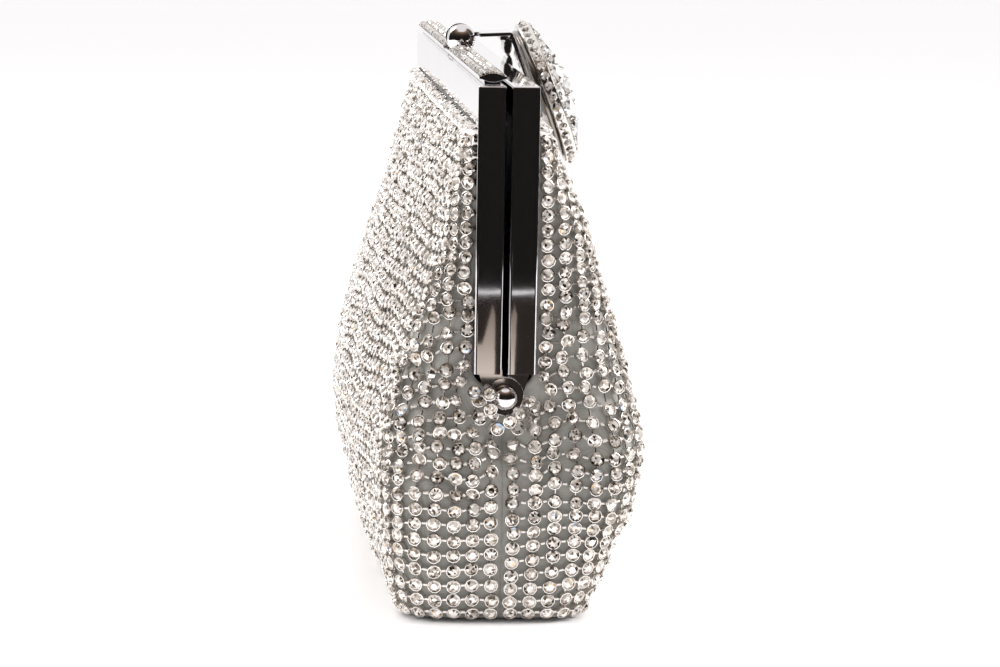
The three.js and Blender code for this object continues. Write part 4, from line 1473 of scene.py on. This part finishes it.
# %% Petals and centre
petal_stone = large_stone("petal_stone", 2.95, 0.0, 2.9, 8)
round_stone = large_stone("round_stone", 1.35, 0.0, 1.7, 6)
middle_stone = large_stone("middle_stone", 4.7, 0.0, 3.4, 12)
petal_cup = cup_mesh(
    "petal_cup", [(1.6, -1.6), (2.8, 0.7), (3.15, 1.15), (2.95, 1.25), (2.7, 0.8)], 16,
)
round_cup = cup_mesh(
    "round_cup", [(0.8, -1.6), (1.3, 0.5), (1.5, 0.85), (1.38, 0.9), (1.2, 0.6)], 10,
)

petals, petal_cups, claws = Stamp(), Stamp(), Stamp()
accents = Stamp()


def set_stone(stone, cup, here, around, outward, girdle, height, claw_count, stretch=1.0, first=0):
    """Adds a stone, its cup and the claws that bend over its edge."""
    seat_matrix = placed(here, around, outward)
    squeeze = Matrix.Diagonal((1, stretch, 1, 1))
    stamp = petals if stone is petal_stone else accents
    stamp.add(stone, seat_matrix @ squeeze)
    petal_cups.add(cup, seat_matrix @ squeeze)
    for k in range(claw_count):
        turn = first + 2 * math.pi * (k + 0.5) / claw_count
        ring = Vector((math.cos(turn), stretch * math.sin(turn), 0))
        foot = seat_matrix @ (ring * (girdle + 0.12) * MM - Vector((0, 0, 0.9 * MM)))
        knee = seat_matrix @ (ring * (girdle + 0.2) * MM + Vector((0, 0, 0.55 * height * MM)))
        tip = seat_matrix @ (ring * (girdle * 0.72) * MM + Vector((0, 0, 0.92 * height * MM)))
        claws.rod(claw_mesh, foot, knee)
        claws.rod(claw_mesh, knee, tip)


for i in range(8):
    turn = 2 * math.pi * (i + 0.5) / 8
    outward, around = leaning(turn, math.radians(24))
    set_stone(petal_stone, petal_cup, on_ring(9.5, turn, 3.9), around, outward, 2.95, 2.9, 4, 1.12,
              math.pi / 8)
    turn = 2 * math.pi * i / 8
    outward, around = leaning(turn, math.radians(30))
    set_stone(round_stone, round_cup, on_ring(12.7, turn, 4.0), around, outward, 1.35, 1.7, 3)
    outward, around = leaning(turn, math.radians(14))
    set_stone(round_stone, round_cup, on_ring(6.7, turn, 5.0), around, outward, 1.35, 1.7, 3)

centre_here = Vector((0, 0, 5.2 * MM))
accents.add(middle_stone, Matrix.Translation(centre_here))
for k in range(8):
    turn = 2 * math.pi * (k + 0.5) / 8
    claws.rod(claw_mesh, on_ring(4.9, turn, 4.2), on_ring(4.95, turn, 7.0))
    claws.rod(claw_mesh, on_ring(4.95, turn, 7.0), on_ring(3.9, turn, 8.1))
centre_cup = finish_hard(turned_ring([
    (0.01, 1.45), (3.4, 1.45), (3.0, 2.4), (4.7, 5.0), (5.15, 6.5), (4.95, 6.7), (4.5, 6.4),
    (4.0, 5.1), (0.01, 5.1),
], 40), "brooch_centre_collet", [setting_silver])
finish_brooch(centre_cup, "polished_nickel", "brooch_centre_cup")
petal_piece = petals.finish("brooch_petals", [brooch_crystal])
paint_facet_reflections(petal_piece)
finish_brooch(petal_piece, "crystal", *(f"brooch_petal_{i + 1}" for i in range(8)))
accent_piece = accents.finish("brooch_round_stones", [brooch_crystal])
paint_facet_reflections(accent_piece)
finish_brooch(accent_piece, "crystal", "brooch_centre_stone")
finish_brooch(petal_cups.finish("brooch_collets", [setting_silver], True), "polished_nickel")
finish_brooch(claws.finish("brooch_claws", [setting_silver], True), "polished_nickel")
print("flower: 8 petals, 16 round stones, 1 middle stone")

# %% [markdown]
# ## Loose cups at the hinge
#
# The net is cut to pass round each hinge, and the cut edge hangs loose there. A few cups of that
# edge lie over the lower side of the lug and in front of the rivet's ball. They belong to the body
# of the bag, so the lugs turn behind them.

# %% Loose cups
LOOSE_CUPS = [
    # y and z from the hinge's axis, x outward from the legs' outer face, lean, stone turned away
    (6.1, 0.9, 0.8, 0.25), (3.3, 0.9, 2.6, 0.1), (3.2, -1.9, 2.5, -0.15), (-0.9, -4.7, 0.3, -0.2),
    (-3.3, -3.7, 0.2, 0.3), (1.5, -6.3, 0.2, -0.1), (4.9, -4.4, 0.4, 0.15), (-5.4, -1.6, 0.1, 0.7),
]
for end, side_name in ((-1, "left"), (1, "right")):
    cups, stones = Stamp(), Stamp()
    for y, z, proud, lean in LOOSE_CUPS:
        here = Vector((end * (HALF_LENGTH + proud), -end * y, HINGE_Z + z)) * MM
        outward = Vector((end, 0.6 * lean, lean)).normalized()
        along = (Vector((0, 1, 0)) - outward * outward.y).normalized()
        matrix = placed(here, along, outward, 0.97, chance.uniform(0, 0.6))
        cups.add(net_cup, matrix)
        stones.add(net_stone, matrix)
    cup_piece = cups.finish(f"{side_name}_loose_cups", [cup_silver])
    cup_piece.data.shade_smooth()
    cup_piece.data.set_sharp_from_angle(angle=math.radians(50))
    stone_piece = stones.finish(f"{side_name}_loose_stones", [mesh_crystal])
    paint_facet_reflections(stone_piece)
    for piece in (cup_piece, stone_piece):
        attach(piece, "bag_body")
print("loose cups:", 2 * len(LOOSE_CUPS))

# %% [markdown]
# ## Pieces that stay as they are
#
# The board in the base, the cords wedged in the frame's groove, the rivets' backing plates, the
# clasp's pin and the brooch's rivets have the right shape already, so they only need finishes.
# Pulp board is speckled with fibres, and the cord is twisted paper.

# %% Board, cord and small metal
def fibrous(name, dark, light, scale):
    material, nodes, shader = shader_material(name, light, 0.9)
    links = material.node_tree.links
    fibres = object_noise(nodes, links, scale, 6)
    shade = ramp_between(nodes, links, fibres.outputs["Fac"], [(0.35, dark), (0.65, light)])
    links.new(shade.outputs["Color"], shader.inputs["Base Color"])
    bump = add_node(nodes, "ShaderNodeBump")
    bump.inputs["Strength"].default_value = 0.5
    bump.inputs["Distance"].default_value = 0.1 * MM
    links.new(fibres.outputs["Fac"], bump.inputs["Height"])
    links.new(bump.outputs["Normal"], shader.inputs["Normal"])
    return material


board = fibrous("pulp_board", (0.19, 0.155, 0.12), (0.33, 0.28, 0.225), 900)
paper = fibrous("paper_cord", (0.52, 0.46, 0.36), (0.68, 0.62, 0.50), 1500)
kept = {
    "base_board": (board, "base_board"),
    "back_packing_cord": (paper, "packing_cord"),
    "front_packing_cord": (paper, "packing_cord"),
    "left_hinge_backing_plate": (nickel, "polished_nickel"),
    "right_hinge_backing_plate": (nickel, "polished_nickel"),
    "clasp_hinge_pin": (nickel, "polished_nickel"),
    "brooch_rivet_left": (nickel, "polished_nickel"),
    "brooch_rivet_right": (nickel, "polished_nickel"),
}
for name, (material, slot_name) in kept.items():
    node = frame["nodes"][name]
    node.data.materials.clear()
    node.data.materials.append(material)
print("kept:", sorted(kept))
